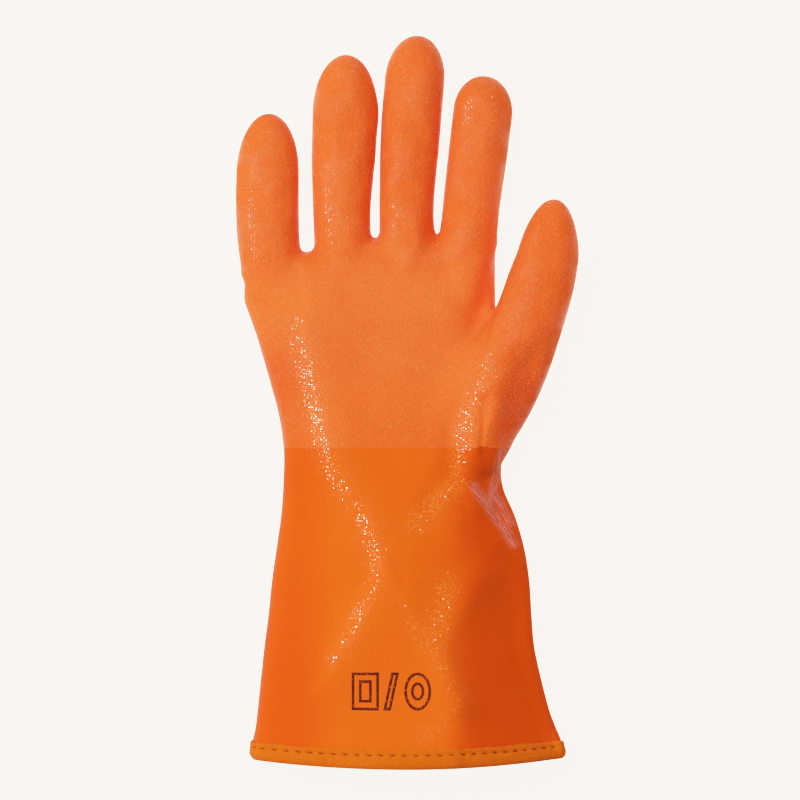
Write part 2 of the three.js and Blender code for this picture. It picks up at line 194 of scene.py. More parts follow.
# Finer creases, in like rows, pressed into the finished surface along its normals.
CREASES = [
    ("crease where the thumb overlaps the palm", 1.6, 1.6, -1.0, [(37.5, 42), (33.5, 34), (31.6, 24)]),
    ("hollow beside the ridge below the thumb", 2.9, 2.9, -2.2, [(32, 0), (31.5, -22)]),
]

# Where the coat is rubbed to a high gloss: its width, how glossy it is, and its path.
RUBBED = [
    ("long soft ridge", 4.6, 1,
     [(-12.3, -64), (-18, -47), (-26, -37), (-34, -20), (-36.7, -5), (-41, 12), (-44.5, 34)]),
    ("long soft ridge, down the cuff", 3, 1, [(-30, -106), (-24, -98), (-13.5, -75), (-12.3, -64)]),
    ("beside the ridge on the palm", 2, 0.7, [(-48, 32), (-46, 12)]),
    ("slope up to the thumb's heel", 4, 1,
     [(37, 17), (30, 3), (22, -15), (22, -28), (21, -34), (13, -41), (4, -50)]),
    ("patch on the cuff", 5, 1, [(16, -77), (11, -99)]),
    ("crest of the cuff on the thumb's side", 3.5, 0.6,
     [(-3, -84.6), (6, -97.5), (15, -108.5), (21, -123), (20, -131), (8, -138)]),
    ("little finger", 1.8, 0.3, [(-65.6, 87), (-64.6, 55)]),
    ("little finger's tip", 2, 1, [(-55, 115.5), (-54, 113.5)]),
    ("ring finger", 1.6, 0.3, [(-34.5, 98), (-33.5, 72), (-31, 65)]),
    ("ring finger's tip", 2.2, 1, [(-23, 139), (-22, 136)]),
    ("ring finger's root", 3, 0.6, [(-31, 77.5), (-24, 76)]),
    ("middle finger", 2, 0.5, [(-6.4, 80), (-6.4, 70)]),
    ("middle finger's tip", 2, 1, [(8, 148.5), (9.5, 146)]),
    ("index finger's tip", 2.4, 0.6, [(23.1, 117), (28, 128), (33.5, 133), (37, 128)]),
    ("thumb's tip", 2, 1, [(58.5, 82), (61.5, 74)]),
    ("thumb", 2, 1, [(52, 51), (48.5, 39)]),
]

# Bundles of fine sharp folds of the coat at the wrist: the two ends of each one's straight line, by x
# and y, and its width.
WRINKLES = np.array([
    (39.8, -20, 34, -43, 3.2),
    (27.9, -35.4, 44.5, -59, 3.4),
    (35.5, -37, 43.5, -51, 2.8),
])

# How fine the trunk's table and the stalls' middle lines are, and where the form is worked out.
TRUNK_STEPS = 400
ANGLE_STEPS = 720
HALF_TURN_STEPS = 181
SPINE_STEPS = 24
LOWEST, HIGHEST = np.array([-79.0, -158.0, -7.0]), np.array([79.0, 160.0, 56.0])
FAR = 12.0  # distances are kept up to here
LEAST_SLOPE = 0.2
FULL_CREASE = 0.5  # 1 less the cosine of the turn from which a crease is rounded in full
UNDERSIDE_ROUNDING = 1.5
ROOM = {"round": 12, "past_tip": 8}  # how much more of the grid than a stall's own size is looked at

# The rounding where a stall leaves the trunk: wide up to narrow_y, over a stretch, and slimmer still
# along the stall.
ROOT = {"wide": 12, "narrow_y": 56, "stretch": 16, "slimmer": 0.8, "slim_y": (72, 80)}


def smooth_rows(rows, t):
    """Every column of a table at t rows from its first, on Catmull-Rom curves through the rows."""
    last = len(rows) - 1
    i = np.clip(np.floor(t).astype(int), 0, last - 1)
    f = t - i
    found = {}
    for name in rows.dtype.names:
        a, b, c, d = (rows[name][np.clip(i + step, 0, last)] for step in (-1, 0, 1, 2))
        start = b * (1 - 3 * f**2 + 2 * f**3) + (c - a) / 2 * (f - 2 * f**2 + f**3)
        found[name] = start + c * (3 * f**2 - 2 * f**3) + (d - b) / 2 * (f**3 - f**2)
    return found


def spline_weights(u):
    """Weights of seven control points along a clamped cubic spline, by the Cox-de Boor rule."""
    knots = np.array([0, 0, 0, 0, 1 / 4, 1 / 2, 3 / 4, 1, 1, 1, 1])
    u = np.clip(u, 0, 1 - 1e-9)[:, None]
    weights = ((knots[:-1] <= u) & (u < knots[1:])).astype(float)
    for degree in (1, 2, 3):
        start, end = knots[: -degree - 1], knots[degree + 1:]
        rise, fall = knots[degree:-1] - start, end - knots[1:-degree]
        rising = (u - start) / np.where(rise > 0, rise, 1) * (rise > 0)
        falling = (end - u) / np.where(fall > 0, fall, 1) * (fall > 0)
        weights = weights[:, :-1] * rising + weights[:, 1:] * falling
    return weights


def power(value, squareness):
    """A cosine or sine bent so that a circle of them becomes a superellipse."""
    return np.sign(value) * np.abs(value) ** (2 / squareness)


def ease(value, low, high):
    """0 below low, 1 above high, and smooth between them."""
    share = np.clip((value - low) / (high - low), 0, 1)
    return share * share * (3 - 2 * share)


def unit(vectors):
    """Vectors made one long."""
    return vectors / np.linalg.norm(vectors, axis=-1)[..., None]


def on_line(place, places, points):
    """Points at places along a line, straight between those that are given."""
    return np.stack([np.interp(place, places, points[:, k]) for k in range(3)], -1)


def path_distance(path, x, y):
    """How far each (x, y) lies from the nearest point of a path of straight lines, and whether it
    lies to the right of that line, seen along the path."""
    nearest = np.full(np.shape(x), np.inf)
    to_right = np.zeros(np.shape(x), dtype=bool)
    for (x1, y1), (x2, y2) in zip(path, path[1:]):
        dx, dy = x2 - x1, y2 - y1
        along = np.clip(((x - x1) * dx + (y - y1) * dy) / (dx * dx + dy * dy), 0, 1)
        away = np.hypot(x - x1 - along * dx, y - y1 - along * dy)
        to_right = np.where(away < nearest, (y - y1) * dx < (x - x1) * dy, to_right)
        nearest = np.minimum(nearest, away)
    return nearest, to_right


def fold_height(folds, x, y):
    """The sum of all folds at (x, y): each is a bell curve of the distance from its path."""
    total = np.zeros(np.shape(x))
    for _, left, right, height, path in folds:
        away, to_right = path_distance(path, x, y)
        total += height * np.exp(-((away / np.where(to_right, right, left)) ** 2))
    return total


def trunk_table():
    """The trunk's rows at many steps, and its radius at each step and angle.

    A section's palm side is a spline over its two shoulders, its back is a superellipse, and the
    radius is measured from the middle of its widest line after both its half sizes become 1.
    """
    row = smooth_rows(TRUNK, np.linspace(0, len(TRUNK) - 1, TRUNK_STEPS))
    left, right, waist = row["left"], row["right"], row["waist"]
    middle, half = (left + right) / 2, (right - left) / 2
    right_z = waist + (row["shoulder_z"] - waist) * TRUNK_SECTION["right_rise"]
    bend_z, left_z = (waist + (row["ridge_z"] - waist) * (row["rise"] - drop)
                      for drop in (0, TRUNK_SECTION["left_drop"]))
    bend_x = left + TRUNK_SECTION["left_bend"]
    corner_x = [right, right, row["shoulder_x"], row["ridge_x"], bend_x, left, left]
    corner_z = [waist, right_z, row["shoulder_z"], row["ridge_z"], bend_z, left_z, waist]
    turn = np.linspace(0, np.pi, HALF_TURN_STEPS)
    weights = spline_weights((1 - np.cos(turn)) / 2)
    over_x, over_z = (np.stack(corner, 1) @ weights.T for corner in (corner_x, corner_z))
    back, squareness = turn[1:-1] + np.pi, TRUNK_SECTION["squareness"]
    under_x = middle[:, None] + half[:, None] * power(np.cos(back), squareness)
    under_z = waist[:, None] + (waist - row["back"])[:, None] * power(np.sin(back), squareness)
    across = (np.hstack([over_x, under_x]) - middle[:, None]) / half[:, None]
    over = (np.hstack([over_z, under_z]) - waist[:, None]) / TRUNK_SECTION["depth"]
    angle = np.arctan2(over, across) % (2 * np.pi)
    steps = np.arange(ANGLE_STEPS) * 2 * np.pi / ANGLE_STEPS
    found = [np.interp(steps, a, r, period=2 * np.pi) for a, r in zip(angle, np.hypot(across, over))]
    return {"y": row["y"], "middle": middle, "half": half, "waist": waist, "radius": np.array(found)}


def trunk_rows(table, y):
    """For each y, its step in the trunk's table, and the trunk's middle, half width and waist."""
    values = (np.arange(TRUNK_STEPS), table["middle"], table["half"], table["waist"])
    return [np.interp(y, table["y"], value) for value in values]


def looked_up(table, i, j):
    """Values of a table at fractional places, straight between its entries; its last axis closes."""
    i = np.clip(i, 0, table.shape[0] - 1.001)
    low_i, low_j = np.floor(i).astype(int), np.floor(j).astype(int)
    f, g = i - low_i, j - low_j
    here, beyond = low_j % table.shape[1], (low_j + 1) % table.shape[1]
    low = table[low_i, here] * (1 - g) + table[low_i, beyond] * g
    high = table[low_i + 1, here] * (1 - g) + table[low_i + 1, beyond] * g
    return low * (1 - f) + high * f


def trunk_field(x, y, z):
    """Below 0 inside the trunk. Past its last row the trunk thins out to the blunt webs, whose
    edge sweeps back with the square of the distance from its crest."""
    table = trunk_table()
    start, end = WEB_END["from_y"], WEB_END["to_y"]
    bend = WEB_END["sweep"] * (x - WEB_END["crest_x"]) ** 2 / (end - start)
    swept = np.minimum((y - bend * start) / (1 - bend), y + bend * (end - start))
    y = np.where(y > start, swept, y)
    step, middle, half, waist = trunk_rows(table, y)
    beyond = y - table["y"][-1]
    share = np.clip(beyond / WEB_END["length"], 0, 1)
    squareness = TRUNK_SECTION["squareness"]
    closing = (1 - share**squareness) ** (1 / squareness)
    depth = TRUNK_SECTION["depth"] * (WEB_END["bluntness"] + (1 - WEB_END["bluntness"]) * closing)
    across, over = (x - middle) / half, (z - waist) / depth
    angle = np.arctan2(over, across) % (2 * np.pi) * ANGLE_STEPS / (2 * np.pi)
    field = np.hypot(across, over) / looked_up(table["radius"], step, angle) - 1
    return np.maximum(field * depth, beyond - WEB_END["length"])


def stall_field(stall, x, y, z):
    """Below 0 inside a stall: superellipses square to its middle line, with a dome at each end."""
    rows = smooth_rows(stall["rows"], np.linspace(0, len(stall["rows"]) - 1, SPINE_STEPS))
    middle = np.stack([rows["x"], rows["y"], rows["z"]], 1)
    spine = np.vstack([stall["root"], middle, stall["tip"]])
    place = np.stack([x, y, z], -1)
    nearest = np.full(x.shape, np.inf)
    station = np.zeros(x.shape)
    last = len(spine) - 2
    for i, (start, end) in enumerate(zip(spine, spine[1:])):
        along = end - start
        share = (place - start) @ along / (along @ along)
        share = np.clip(share, -np.inf if i == 0 else 0, np.inf if i == last else 1)
        away = ((place - start - share[..., None] * along) ** 2).sum(-1)
        station = np.where(away < nearest, i + share, station)
        nearest = np.minimum(nearest, away)
    stations = np.arange(len(spine))
    off = place - on_line(np.clip(station, 0, last + 1), stations, spine)
    along = unit(on_line(station, stations[:-1] + 0.5, unit(np.diff(spine, axis=0))))
    side = unit(np.stack([along[..., 1], -along[..., 0], np.zeros(x.shape)], -1))
    up = np.cross(side, along)
    half, deep = (np.interp(station, stations[1:-1], rows[name]) for name in ("half", "deep"))
    across, over = np.abs((off * side).sum(-1)) / half, np.abs((off * up).sum(-1)) / deep
    ring = (across**STALL_SQUARENESS + over**STALL_SQUARENESS) ** (1 / STALL_SQUARENESS)
    dome = np.maximum(1 - station, 0) + np.maximum(station - last, 0)
    dome **= stall.get("bluntness", DOME_BLUNTNESS) / 2
    return (np.hypot(ring, dome) - 1) * np.minimum(half, deep)


def distances(field, step):
    """A field turned into rough distances, divided by how steeply it rises, and its directions."""
    slopes = np.array(np.gradient(field, step))
    steepness = np.sqrt((slopes**2).sum(0))
    near = np.clip(field / np.maximum(steepness, LEAST_SLOPE), -FAR, FAR)
    return near, slopes / np.maximum(steepness, 1e-6)


def joined(a, b, a_way, b_way, radius):
    """The smaller of two distances, rounded in the creases between them: where they are nearly
    alike and rise in different directions."""
    alike = np.clip(1 - np.abs(a - b) / radius, 0, 1)
    crease_share = np.clip((1 - (a_way * b_way).sum(0)) / FULL_CREASE, 0, 1)
    return np.minimum(a, b) - radius * alike**2 / 4 * crease_share


def rounded_most(a, b, radius):
    """The larger of two distances, rounded where they are nearly alike."""
    alike = np.clip(1 - np.abs(a - b) / radius, 0, 1)
    return np.maximum(a, b) + radius * alike**2 / 4


def blurred(field, times):
    """A field smoothed with weights 1, 2, 1 along each axis."""
    for _ in range(times):
        for axis in range(3):
            padded = np.pad(field, [(1, 1) if k == axis else (0, 0) for k in range(3)], mode="edge")
            low, high = (np.take(padded, range(s, s + field.shape[axis]), axis) for s in (0, 2))
            field = field / 2 + (low + high) / 4
    return field


class Form:
    """The whole glove's distances on a grid of points, before its underside is pressed flat."""

    def __init__(self, step, web):
        self.step = step
        self.axes = [np.arange(low, high, step) for low, high in zip(LOWEST, HIGHEST)]
        x, y, z = np.meshgrid(*self.axes, indexing="ij")
        fold = fold_height(FOLDS, x[:, :, 0], y[:, :, 0])[:, :, None]
        z = z - fold * ease(z, *FOLD_GROWTH)
        field, way = distances(trunk_field(x, y, z), step)
        for stall in STALLS.values():
            part = self.near(stall)
            own, own_way = distances(stall_field(stall, x[part], y[part], z[part]), step)
            root = {**ROOT, **stall.get("root_rounding", {})}
            narrow = ease(y[part], root["narrow_y"] - root["stretch"], root["narrow_y"])
            radius = web + (root["wide"] - web) * (1 - narrow)
            radius *= 1 - root["slimmer"] * ease(y[part], *root["slim_y"])
            every = (slice(None), *part)
            both = joined(field[part], own, way[every], own_way, radius)
            way[every] = np.where(own < field[part], own_way, way[every])
            field[part] = both
        self.field = blurred(field, 2)

    def near(self, stall):
        """The part of the grid that a stall can change."""
        room = stall["rows"]["half"].max() + ROOM["round"]
        low = stall["rows"]["x"].min() - room, stall["root"][1] - ROOM["round"], -np.inf
        high = stall["rows"]["x"].max() + room, stall["tip"][1] + ROOM["past_tip"], np.inf
        return tuple(slice(*np.searchsorted(axis, ends)) for axis, *ends in zip(self.axes, low, high))

    def pressed(self, grown=0.0):
        """The distances, grown outwards, with the underside flat on the surface it lies on."""
        return rounded_most(self.field - grown, -self.axes[2], UNDERSIDE_ROUNDING)


def read_field(form, field, points):
    """A field's values at points, straight between its eight nearest entries."""
    place = np.clip((points - LOWEST) / form.step, 0, np.array(field.shape) - 1.001)
    low = np.floor(place).astype(int)
    f = place - low
    total = 0
    for corner in np.ndindex(2, 2, 2):
        weight = np.prod(np.where(corner, f, 1 - f), -1)
        i, j, k = np.moveaxis(low + corner, -1, 0)
        total = total + weight * field[i, j, k]
    return total


def entries(form, field, rays):
    """Where rays of points, along their first axis, first enter the form: straight between the last
    point outside and the first one inside."""
    value = read_field(form, field, rays)
    first = np.argmax(value < 0, axis=0)[None]
    inside, outside = (np.take_along_axis(value, first - s, 0)[0] for s in (0, 1))
    share = (outside / (outside - inside))[..., None]
    a, b = (np.take_along_axis(rays, (first - s)[..., None], 0)[0] for s in (1, 0))
    return a * (1 - share) + b * share


def mesh_object(name, points, faces, smooth=True):
    """A mesh object from points in millimetres and faces of equal length."""
    mesh = bpy.data.meshes.new(name)
    faces = np.asarray(faces, dtype=np.int32)
    mesh.vertices.add(len(points))
    mesh.vertices.foreach_set("co", (np.asarray(points) * MM).ravel())
    mesh.loops.add(faces.size)
    mesh.loops.foreach_set("vertex_index", faces.ravel())
    mesh.polygons.add(len(faces))
    mesh.polygons.foreach_set("loop_start", np.arange(0, faces.size, faces.shape[1]))
    mesh.update(calc_edges=True)
    mesh.validate()
    mesh.polygons.foreach_set("use_smooth", np.full(len(mesh.polygons), smooth))
    piece = bpy.data.objects.new(name, mesh)
    bpy.context.scene.collection.objects.link(piece)
    return piece


def grid_faces(rows, columns, closed_rows=False, closed_columns=True):
    """The faces of a grid of points, as indices into its points, row by row."""
    j = np.arange(rows if closed_rows else rows - 1)[:, None]
    k = np.arange(columns if closed_columns else columns - 1)[None, :]
    here, beyond = j * columns, (j + 1) % rows * columns
    following = (k + 1) % columns
    corners = [here + k, here + following, beyond + following, beyond + k]
    return np.stack(np.broadcast_arrays(*corners), -1).reshape(-1, 4)


@contextmanager
def opened(mesh):
    """A mesh opened in bmesh, and put back with its changes."""
    shape = bmesh.new()
    shape.from_mesh(mesh)
    yield shape
    shape.to_mesh(mesh)
    shape.free()
    mesh.update()


def vertex_arrays(mesh):
    """A mesh's points in millimetres and its normals."""
    points, normals = (np.zeros(len(mesh.vertices) * 3) for _ in range(2))
    mesh.vertices.foreach_get("co", points)
    mesh.vertices.foreach_get("normal", normals)
    return points.reshape(-1, 3) / MM, normals.reshape(-1, 3)


def crease(mesh):
    """Presses the fine creases into a mesh along its normals, where it faces up."""
    points, normals = vertex_arrays(mesh)
    depth = fold_height(CREASES, points[:, 0], points[:, 1]) * ease(normals[:, 2], -0.1, 0.4)
    points += normals * depth[:, None]
    mesh.vertices.foreach_set("co", (points * MM).ravel())
    mesh.update()


def add_gloss(mesh):
    """Stores how far the coat is rubbed to a high gloss at each point, from the rubbed paths: a
    bell curve of the distance from each."""
    points, _ = vertex_arrays(mesh)
    most = np.zeros(len(points))
    for _, width, gloss, path in RUBBED:
        away, _ = path_distance(path, points[:, 0], points[:, 1])
        most = np.maximum(most, gloss * np.exp(-((away / width) ** 2)))
    mesh.attributes.new("gloss", "FLOAT", "POINT").data.foreach_set("value", most)


def add_map(mesh, name, turn, around, pitch, up):
    """A UV map in metres, from each face corner's column, of those around a piece, and how far up it
    is. Columns are a pitch apart, and a face across the seam goes on past the last of them."""
    turn = np.where(turn.max(1, keepdims=True) - turn > around / 2, turn + around, turn)
    layer = mesh.uv_layers.new(name=name)
    layer.data.foreach_set("uv", np.stack([turn * pitch, up], -1).ravel())


def bowed(points):
    """Points whose cuff's edge bows out in the middle and rises at its ends, by a parabola that
    fades up the cuff."""
    length = HEM["bulge_full_y"] - HEM["bulge_from_y"]
    share = np.clip((points[..., 1] - HEM["bulge_from_y"]) / length, 0, 1)
    moved = points.copy()
    bow = HEM["bulge"] - (HEM["bulge"] + HEM["end_rise"]) * (points[..., 0] / HEM["half"]) ** 2
    moved[..., 1] -= share**2 * bow
    return moved


RAYS = {"round": 721, "steps": 56, "from": 1.7, "to": 0.6}  # from and to are shares of the radius


def cuff_rings(form, levels, around):
    """Rings of points on the cuff at levels of Y, evenly spaced round each ring.

    Each point is where a ray towards the section's middle enters the form; then the ring is spaced
    again by its arc length, from its underside on, and bowed.
    """
    table = trunk_table()
    step, middle, half, waist = (value[:, None] for value in trunk_rows(table, levels))
    turn = np.linspace(-np.pi / 2, 1.5 * np.pi, RAYS["round"])
    radius = looked_up(table["radius"], step, turn % (2 * np.pi) * ANGLE_STEPS / (2 * np.pi))
    reach = np.linspace(RAYS["from"], RAYS["to"], RAYS["steps"])[:, None, None] * radius
    rays = np.stack([
        middle + reach * half * np.cos(turn),
        np.broadcast_to(levels[:, None], reach.shape),
        waist + reach * TRUNK_SECTION["depth"] * np.sin(turn),
    ], -1)
    rings = entries(form, form.pressed(), rays)
    length = np.linalg.norm(np.diff(rings, axis=1), axis=-1)
    travelled = np.pad(np.cumsum(length, axis=1), ((0, 0), (1, 0)))
    even = np.arange(around) / around
    return bowed(np.array([on_line(even * s[-1], s, ring) for s, ring in zip(travelled, rings)]))


def finish_piece(piece, *nodes, slot):
    """Puts a piece in the frame, in place of its CAD nodes."""
    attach(piece, "root")
    if nodes:
        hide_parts(*nodes)


def coat(piece, *describes):
    """Gives a piece its materials: the first outside, the second on its wall and inside."""
    for describe in describes:
        piece.data.materials.append(material(describe))


def thicken(piece, thickness, inner_material=0):
    """Gives a skin its wall, inwards."""
    wall = piece.modifiers.new("wall", "SOLIDIFY")
    wall.thickness = thickness
    wall.offset = -1
    wall.material_offset = inner_material


_made = {}


def glove_form(settings):
    """The form, made once for all pieces."""
    if "form" not in _made:
        _made["form"] = Form(settings.grid_step / MM, settings.web_radius / MM)
    return _made["form"]


LENGTH = {"subtype": "DISTANCE", "unit": "LENGTH"}
COLOR = {"subtype": "COLOR", "size": 4, "min": 0, "max": 1}


class GloveForm(bpy.types.PropertyGroup):
    """Sizes of the glove's walls and of the surfaces that are made."""

    wall: bpy.props.FloatProperty(
        name="Wall", description="Thickness of the lined and coated wall", default=0.0019, **LENGTH)
    coat: bpy.props.FloatProperty(
        name="Second coat", description="How far the hand's second coat stands proud of the first",
        default=0.0001, **LENGTH)
    web_radius: bpy.props.FloatProperty(
        name="Web radius", description="Rounding between neighbouring stalls", default=0.0025, **LENGTH)
    grid_step: bpy.props.FloatProperty(
        name="Grid step", description="Spacing of the points that the form is worked out at",
        default=0.00114, **LENGTH)
    cuff_around: bpy.props.IntProperty(
        name="Faces round the cuff", description="Faces in each ring of the cuff", default=264)


class GloveColors(bpy.types.PropertyGroup):
    """The two colours that each coat and the tape drift between."""

    hand: bpy.props.FloatVectorProperty(
        name="Hand", description="Second coat", default=(0.89, 0.136, 0.024, 1), **COLOR)
    hand_light: bpy.props.FloatVectorProperty(
        name="Hand, lighter", description="Second coat's lighter patches",
        default=(0.95, 0.156, 0.031, 1), **COLOR)
    cuff: bpy.props.FloatVectorProperty(
        name="Cuff", description="First coat", default=(0.86, 0.118, 0.008, 1), **COLOR)
    cuff_light: bpy.props.FloatVectorProperty(
        name="Cuff, lighter", description="First coat's lighter patches",
        default=(0.92, 0.130, 0.009, 1), **COLOR)
    tape: bpy.props.FloatVectorProperty(
        name="Tape", description="Tape on the cuff's edge", default=(0.78, 0.143, 0.006, 1), **COLOR)
    tape_light: bpy.props.FloatVectorProperty(
        name="Tape, lighter", description="Tape's lighter patches",
        default=(0.88, 0.168, 0.009, 1), **COLOR)


HAND_NODES = ("palm", "thumb", "little_finger", "ring_finger", "middle_finger", "index_finger")
HAND_SPARE = 5  # how far below the dip line the hand is meshed, before it is cut there


class BuildHand(bpy.types.Operator):
    """Makes the hand: palm, thumb and fingers under the second coat, as one skin with a wall"""

    bl_idname = "glove.build_hand"
    bl_label = "Build hand"

    def execute(self, context):
        sizes = context.scene.glove_form
        form = glove_form(sizes)
        keep = form.axes[1] > DIP_LINE_Y - HAND_SPARE
        field = form.pressed(sizes.coat / MM)[:, keep]
        grid = openvdb.FloatGrid(FAR)
        grid.copyFromArray(np.ascontiguousarray(field, dtype=np.float32))
        points, quads = grid.convertToQuads(isovalue=0.0)
        origin = LOWEST.copy()
        origin[1] = form.axes[1][keep][0]
        piece = mesh_object("hand_coat", points * form.step + origin, quads)
        trim(piece.data, DIP_LINE_Y * MM)
        crease(piece.data)
        add_gloss(piece.data)
        thicken(piece, sizes.wall + sizes.coat, 1)
        coat(piece, granular_coat, knitted_liner)
        finish_piece(piece, *HAND_NODES, slot="hand_coat")
        return {"FINISHED"}


def trim(mesh, y):
    """Cuts a mesh off straight below a height of Y and turns its faces outwards."""
    with opened(mesh) as shape:
        everything = shape.verts[:] + shape.edges[:] + shape.faces[:]
        bmesh.ops.bisect_plane(shape, geom=everything, plane_co=(0, y, 0), plane_no=(0, 1, 0),
                               clear_inner=True)
        bmesh.ops.recalc_face_normals(shape, faces=shape.faces[:])
        for edge in shape.edges:
            edge.smooth = not edge.is_boundary


CUFF_ROUND = 0.245  # the cuff's length round at its narrow end, in metres
CUFF_ROWS = 122
CUFF_TUCK = 2.5  # how far the cuff goes on under the hand's second coat


class BuildGauntlet(bpy.types.Operator):
    """Makes the wrist and flared cuff as rings of points on the form, with a wall"""

    bl_idname = "glove.build_gauntlet"
    bl_label = "Build gauntlet"

    def execute(self, context):
        sizes = context.scene.glove_form
        around = sizes.cuff_around
        levels = np.linspace(TRUNK["y"][0], DIP_LINE_Y + CUFF_TUCK, CUFF_ROWS)
        rings = cuff_rings(glove_form(sizes), levels, around)
        faces = grid_faces(CUFF_ROWS, around)[:, ::-1]
        piece = mesh_object("gauntlet_coat", rings.reshape(-1, 3), faces)
        add_map(piece.data, "cuff", faces % around, around, CUFF_ROUND / around,
                levels[faces // around] * MM)
        crease(piece.data)
        add_gloss(piece.data)
        thicken(piece, sizes.wall, 1)
        coat(piece, glossy_coat, knitted_liner)
        finish_piece(piece, "gauntlet", slot="cuff_coat")
        return {"FINISHED"}


# The tape's section, how its outer leg puffs and its lip waves round the cuff, and how it is pressed
# in along its stitches. A stitch is a thread that rises from one hole and dips into the next.
TAPE = {
    "thick": 0.8, "outer_leg": 8, "inner_leg": 7, "turn": 4, "clear": 0.25, "around": 900, "steps": 14,
    "rounding": (0.35, 0.75, 0.95), "stitch_up": 4.5, "lip": 0.5, "wave": 0.16,
    "waves": ((7, 1), (17, 0)), "pucker": 0.2, "pucker_reach": (0.4, 2.2), "puff": 0.28,
    "groove": 0.18, "groove_width": 0.55, "face": 0.4,
}
STITCH = {
    "pitch": 4.9, "length": 2.3, "thread": 0.42, "dimple": 0.45, "lean": 0.12, "sunk": 0.25,
    "dip": 0.3, "ends": 1.05, "steps": 9, "sides": 8,
}
HEM_LEVELS = 10


def hem_surface(form):
    """The cuff's outer surface near its edge: for each place round it, points at rising levels of
    Y and the direction out of the cuff."""
    levels = np.linspace(0, TAPE["outer_leg"] + 1, HEM_LEVELS)
    rings = cuff_rings(form, TRUNK["y"][0] + levels, TAPE["around"])
    ahead, behind = np.roll(rings, -1, axis=1), np.roll(rings, 1, axis=1)
    way = np.stack([ahead[..., 2] - behind[..., 2], np.zeros(rings.shape[:2]),
                    behind[..., 0] - ahead[..., 0]], -1)
    return levels, rings, unit(way)


def on_hem(surface, column, up, out):
    """Points near the cuff's edge, from their columns round it, their heights over its edge and
    their distances out of its surface. Below the edge the surface goes on straight down."""
    levels, rings, way = surface
    row = np.clip(up, 0, levels[-1]) / (levels[1] - levels[0])
    points, outward = (np.stack([looked_up(values[..., k], row, column % rings.shape[1])
                                 for k in range(3)], -1) for values in (rings, way))
    points = points + outward * out[..., None]
    points[..., 1] += np.minimum(up, 0)
    return points


def tape_profile(wall):
    """The tape's closed section: its middle line runs down outside the edge, round it and up inside.

    Gives, for each point, how high it is over the edge, how far out of the cuff's surface, and its
    share of the way down the outer leg (1 below it).
    """
    steps, half = TAPE["steps"], TAPE["thick"] / 2
    bend = wall / 2 + TAPE["clear"] + half
    top_out, top_in = (TAPE[leg] - TAPE["clear"] - TAPE["thick"] for leg in ("outer_leg", "inner_leg"))
    turn = np.linspace(0, np.pi, steps)
    up = np.concatenate([np.linspace(top_out, wall / 2, steps)[:-1], wall / 2 - bend * np.sin(turn),
                         np.linspace(wall / 2, top_in, steps)[1:]])
    out = np.concatenate([np.full(steps - 1, bend), bend * np.cos(turn), np.full(steps - 1, -bend)])
    out -= wall / 2
    along_up, along_out = np.gradient(up), np.gradient(out)
    length = np.hypot(along_up, along_out)
    share = np.where(out > -wall / 2, np.clip((top_out - up) / (top_out - wall / 2), 0, 1), 1)
    ends = np.full(len(up), half)
    ends[:3] *= TAPE["rounding"]
    ends[-3:] *= TAPE["rounding"][::-1]
    sides = ((up, along_out / length), (out, -along_up / length))
    up, out = (np.concatenate([line + side * ends, (line - side * ends)[::-1]]) for line, side in sides)
    return up, out, np.concatenate([share, share[::-1]])


def tape_points(surface, profile, stitches, spacing, wall):
    """The tape's points, ring by ring: its lip waves and puckers between the stitches, its outer leg
    puffs out below them by half a sine, and a groove and a dimple at each stitch press it in."""
    up, out, share = profile
    around = TAPE["around"]
    column = np.arange(around)[:, None]
    gap = np.abs((column - stitches + around / 2) % around - around / 2).min(-1)[:, None] * spacing
    wave = sum(np.sin(column * 2 * np.pi * count / around + start) for count, start in TAPE["waves"])
    pucker = ease(gap, *TAPE["pucker_reach"]) - 0.5
    rise = (1 - ease(share, 0, TAPE["lip"])) * (TAPE["wave"] * wave + TAPE["pucker"] * pucker)
    along = np.exp(-((gap / (STITCH["length"] / 2)) ** 4))
    groove = np.exp(-(((up - TAPE["stitch_up"]) / TAPE["groove_width"]) ** 2))
    below = np.clip((TAPE["stitch_up"] - up) / TAPE["stitch_up"], 0, 1)
    pressed = np.minimum((STITCH["dimple"] * along + TAPE["groove"]) * groove, out)
    outer = (out > -wall / 2) & (np.abs(out) > TAPE["face"])
    shift = np.where(outer, TAPE["puff"] * np.sin(np.pi * below) - pressed, 0)
    return on_hem(surface, column, up + rise, out + shift)


class BuildBinding(bpy.types.Operator):
    """Makes the tape that is folded over the cuff's edge, pressed in at each of its stitches"""

    bl_idname = "glove.build_binding"
    bl_label = "Build binding"

    def execute(self, context):
        sizes = context.scene.glove_form
        around, wall = TAPE["around"], sizes.wall / MM
        surface = hem_surface(glove_form(sizes))
        edge = surface[1][0]
        length_round = np.linalg.norm(np.roll(edge, -1, axis=0) - edge, axis=-1).sum()
        spacing = length_round / around
        count = int(length_round // STITCH["pitch"])
        stitches = (np.arange(count) + 0.5) * around / count
        profile = tape_profile(wall)
        up, out, _ = profile
        points = tape_points(surface, profile, stitches, spacing, wall)
        faces = grid_faces(around, len(up), closed_rows=True)[:, ::-1]
        piece = mesh_object("hem_tape", points.reshape(-1, 3), faces)
        travelled = np.concatenate([[0], np.cumsum(np.hypot(np.diff(up), np.diff(out)))]) * MM
        add_map(piece.data, "tape", faces // len(up), around, spacing * MM, travelled[faces % len(up)])
        coat(piece, woven_tape)
        finish_piece(piece, "hem_binding", slot="hem_tape")
        build_stitches(surface, stitches, spacing)
        return {"FINISHED"}


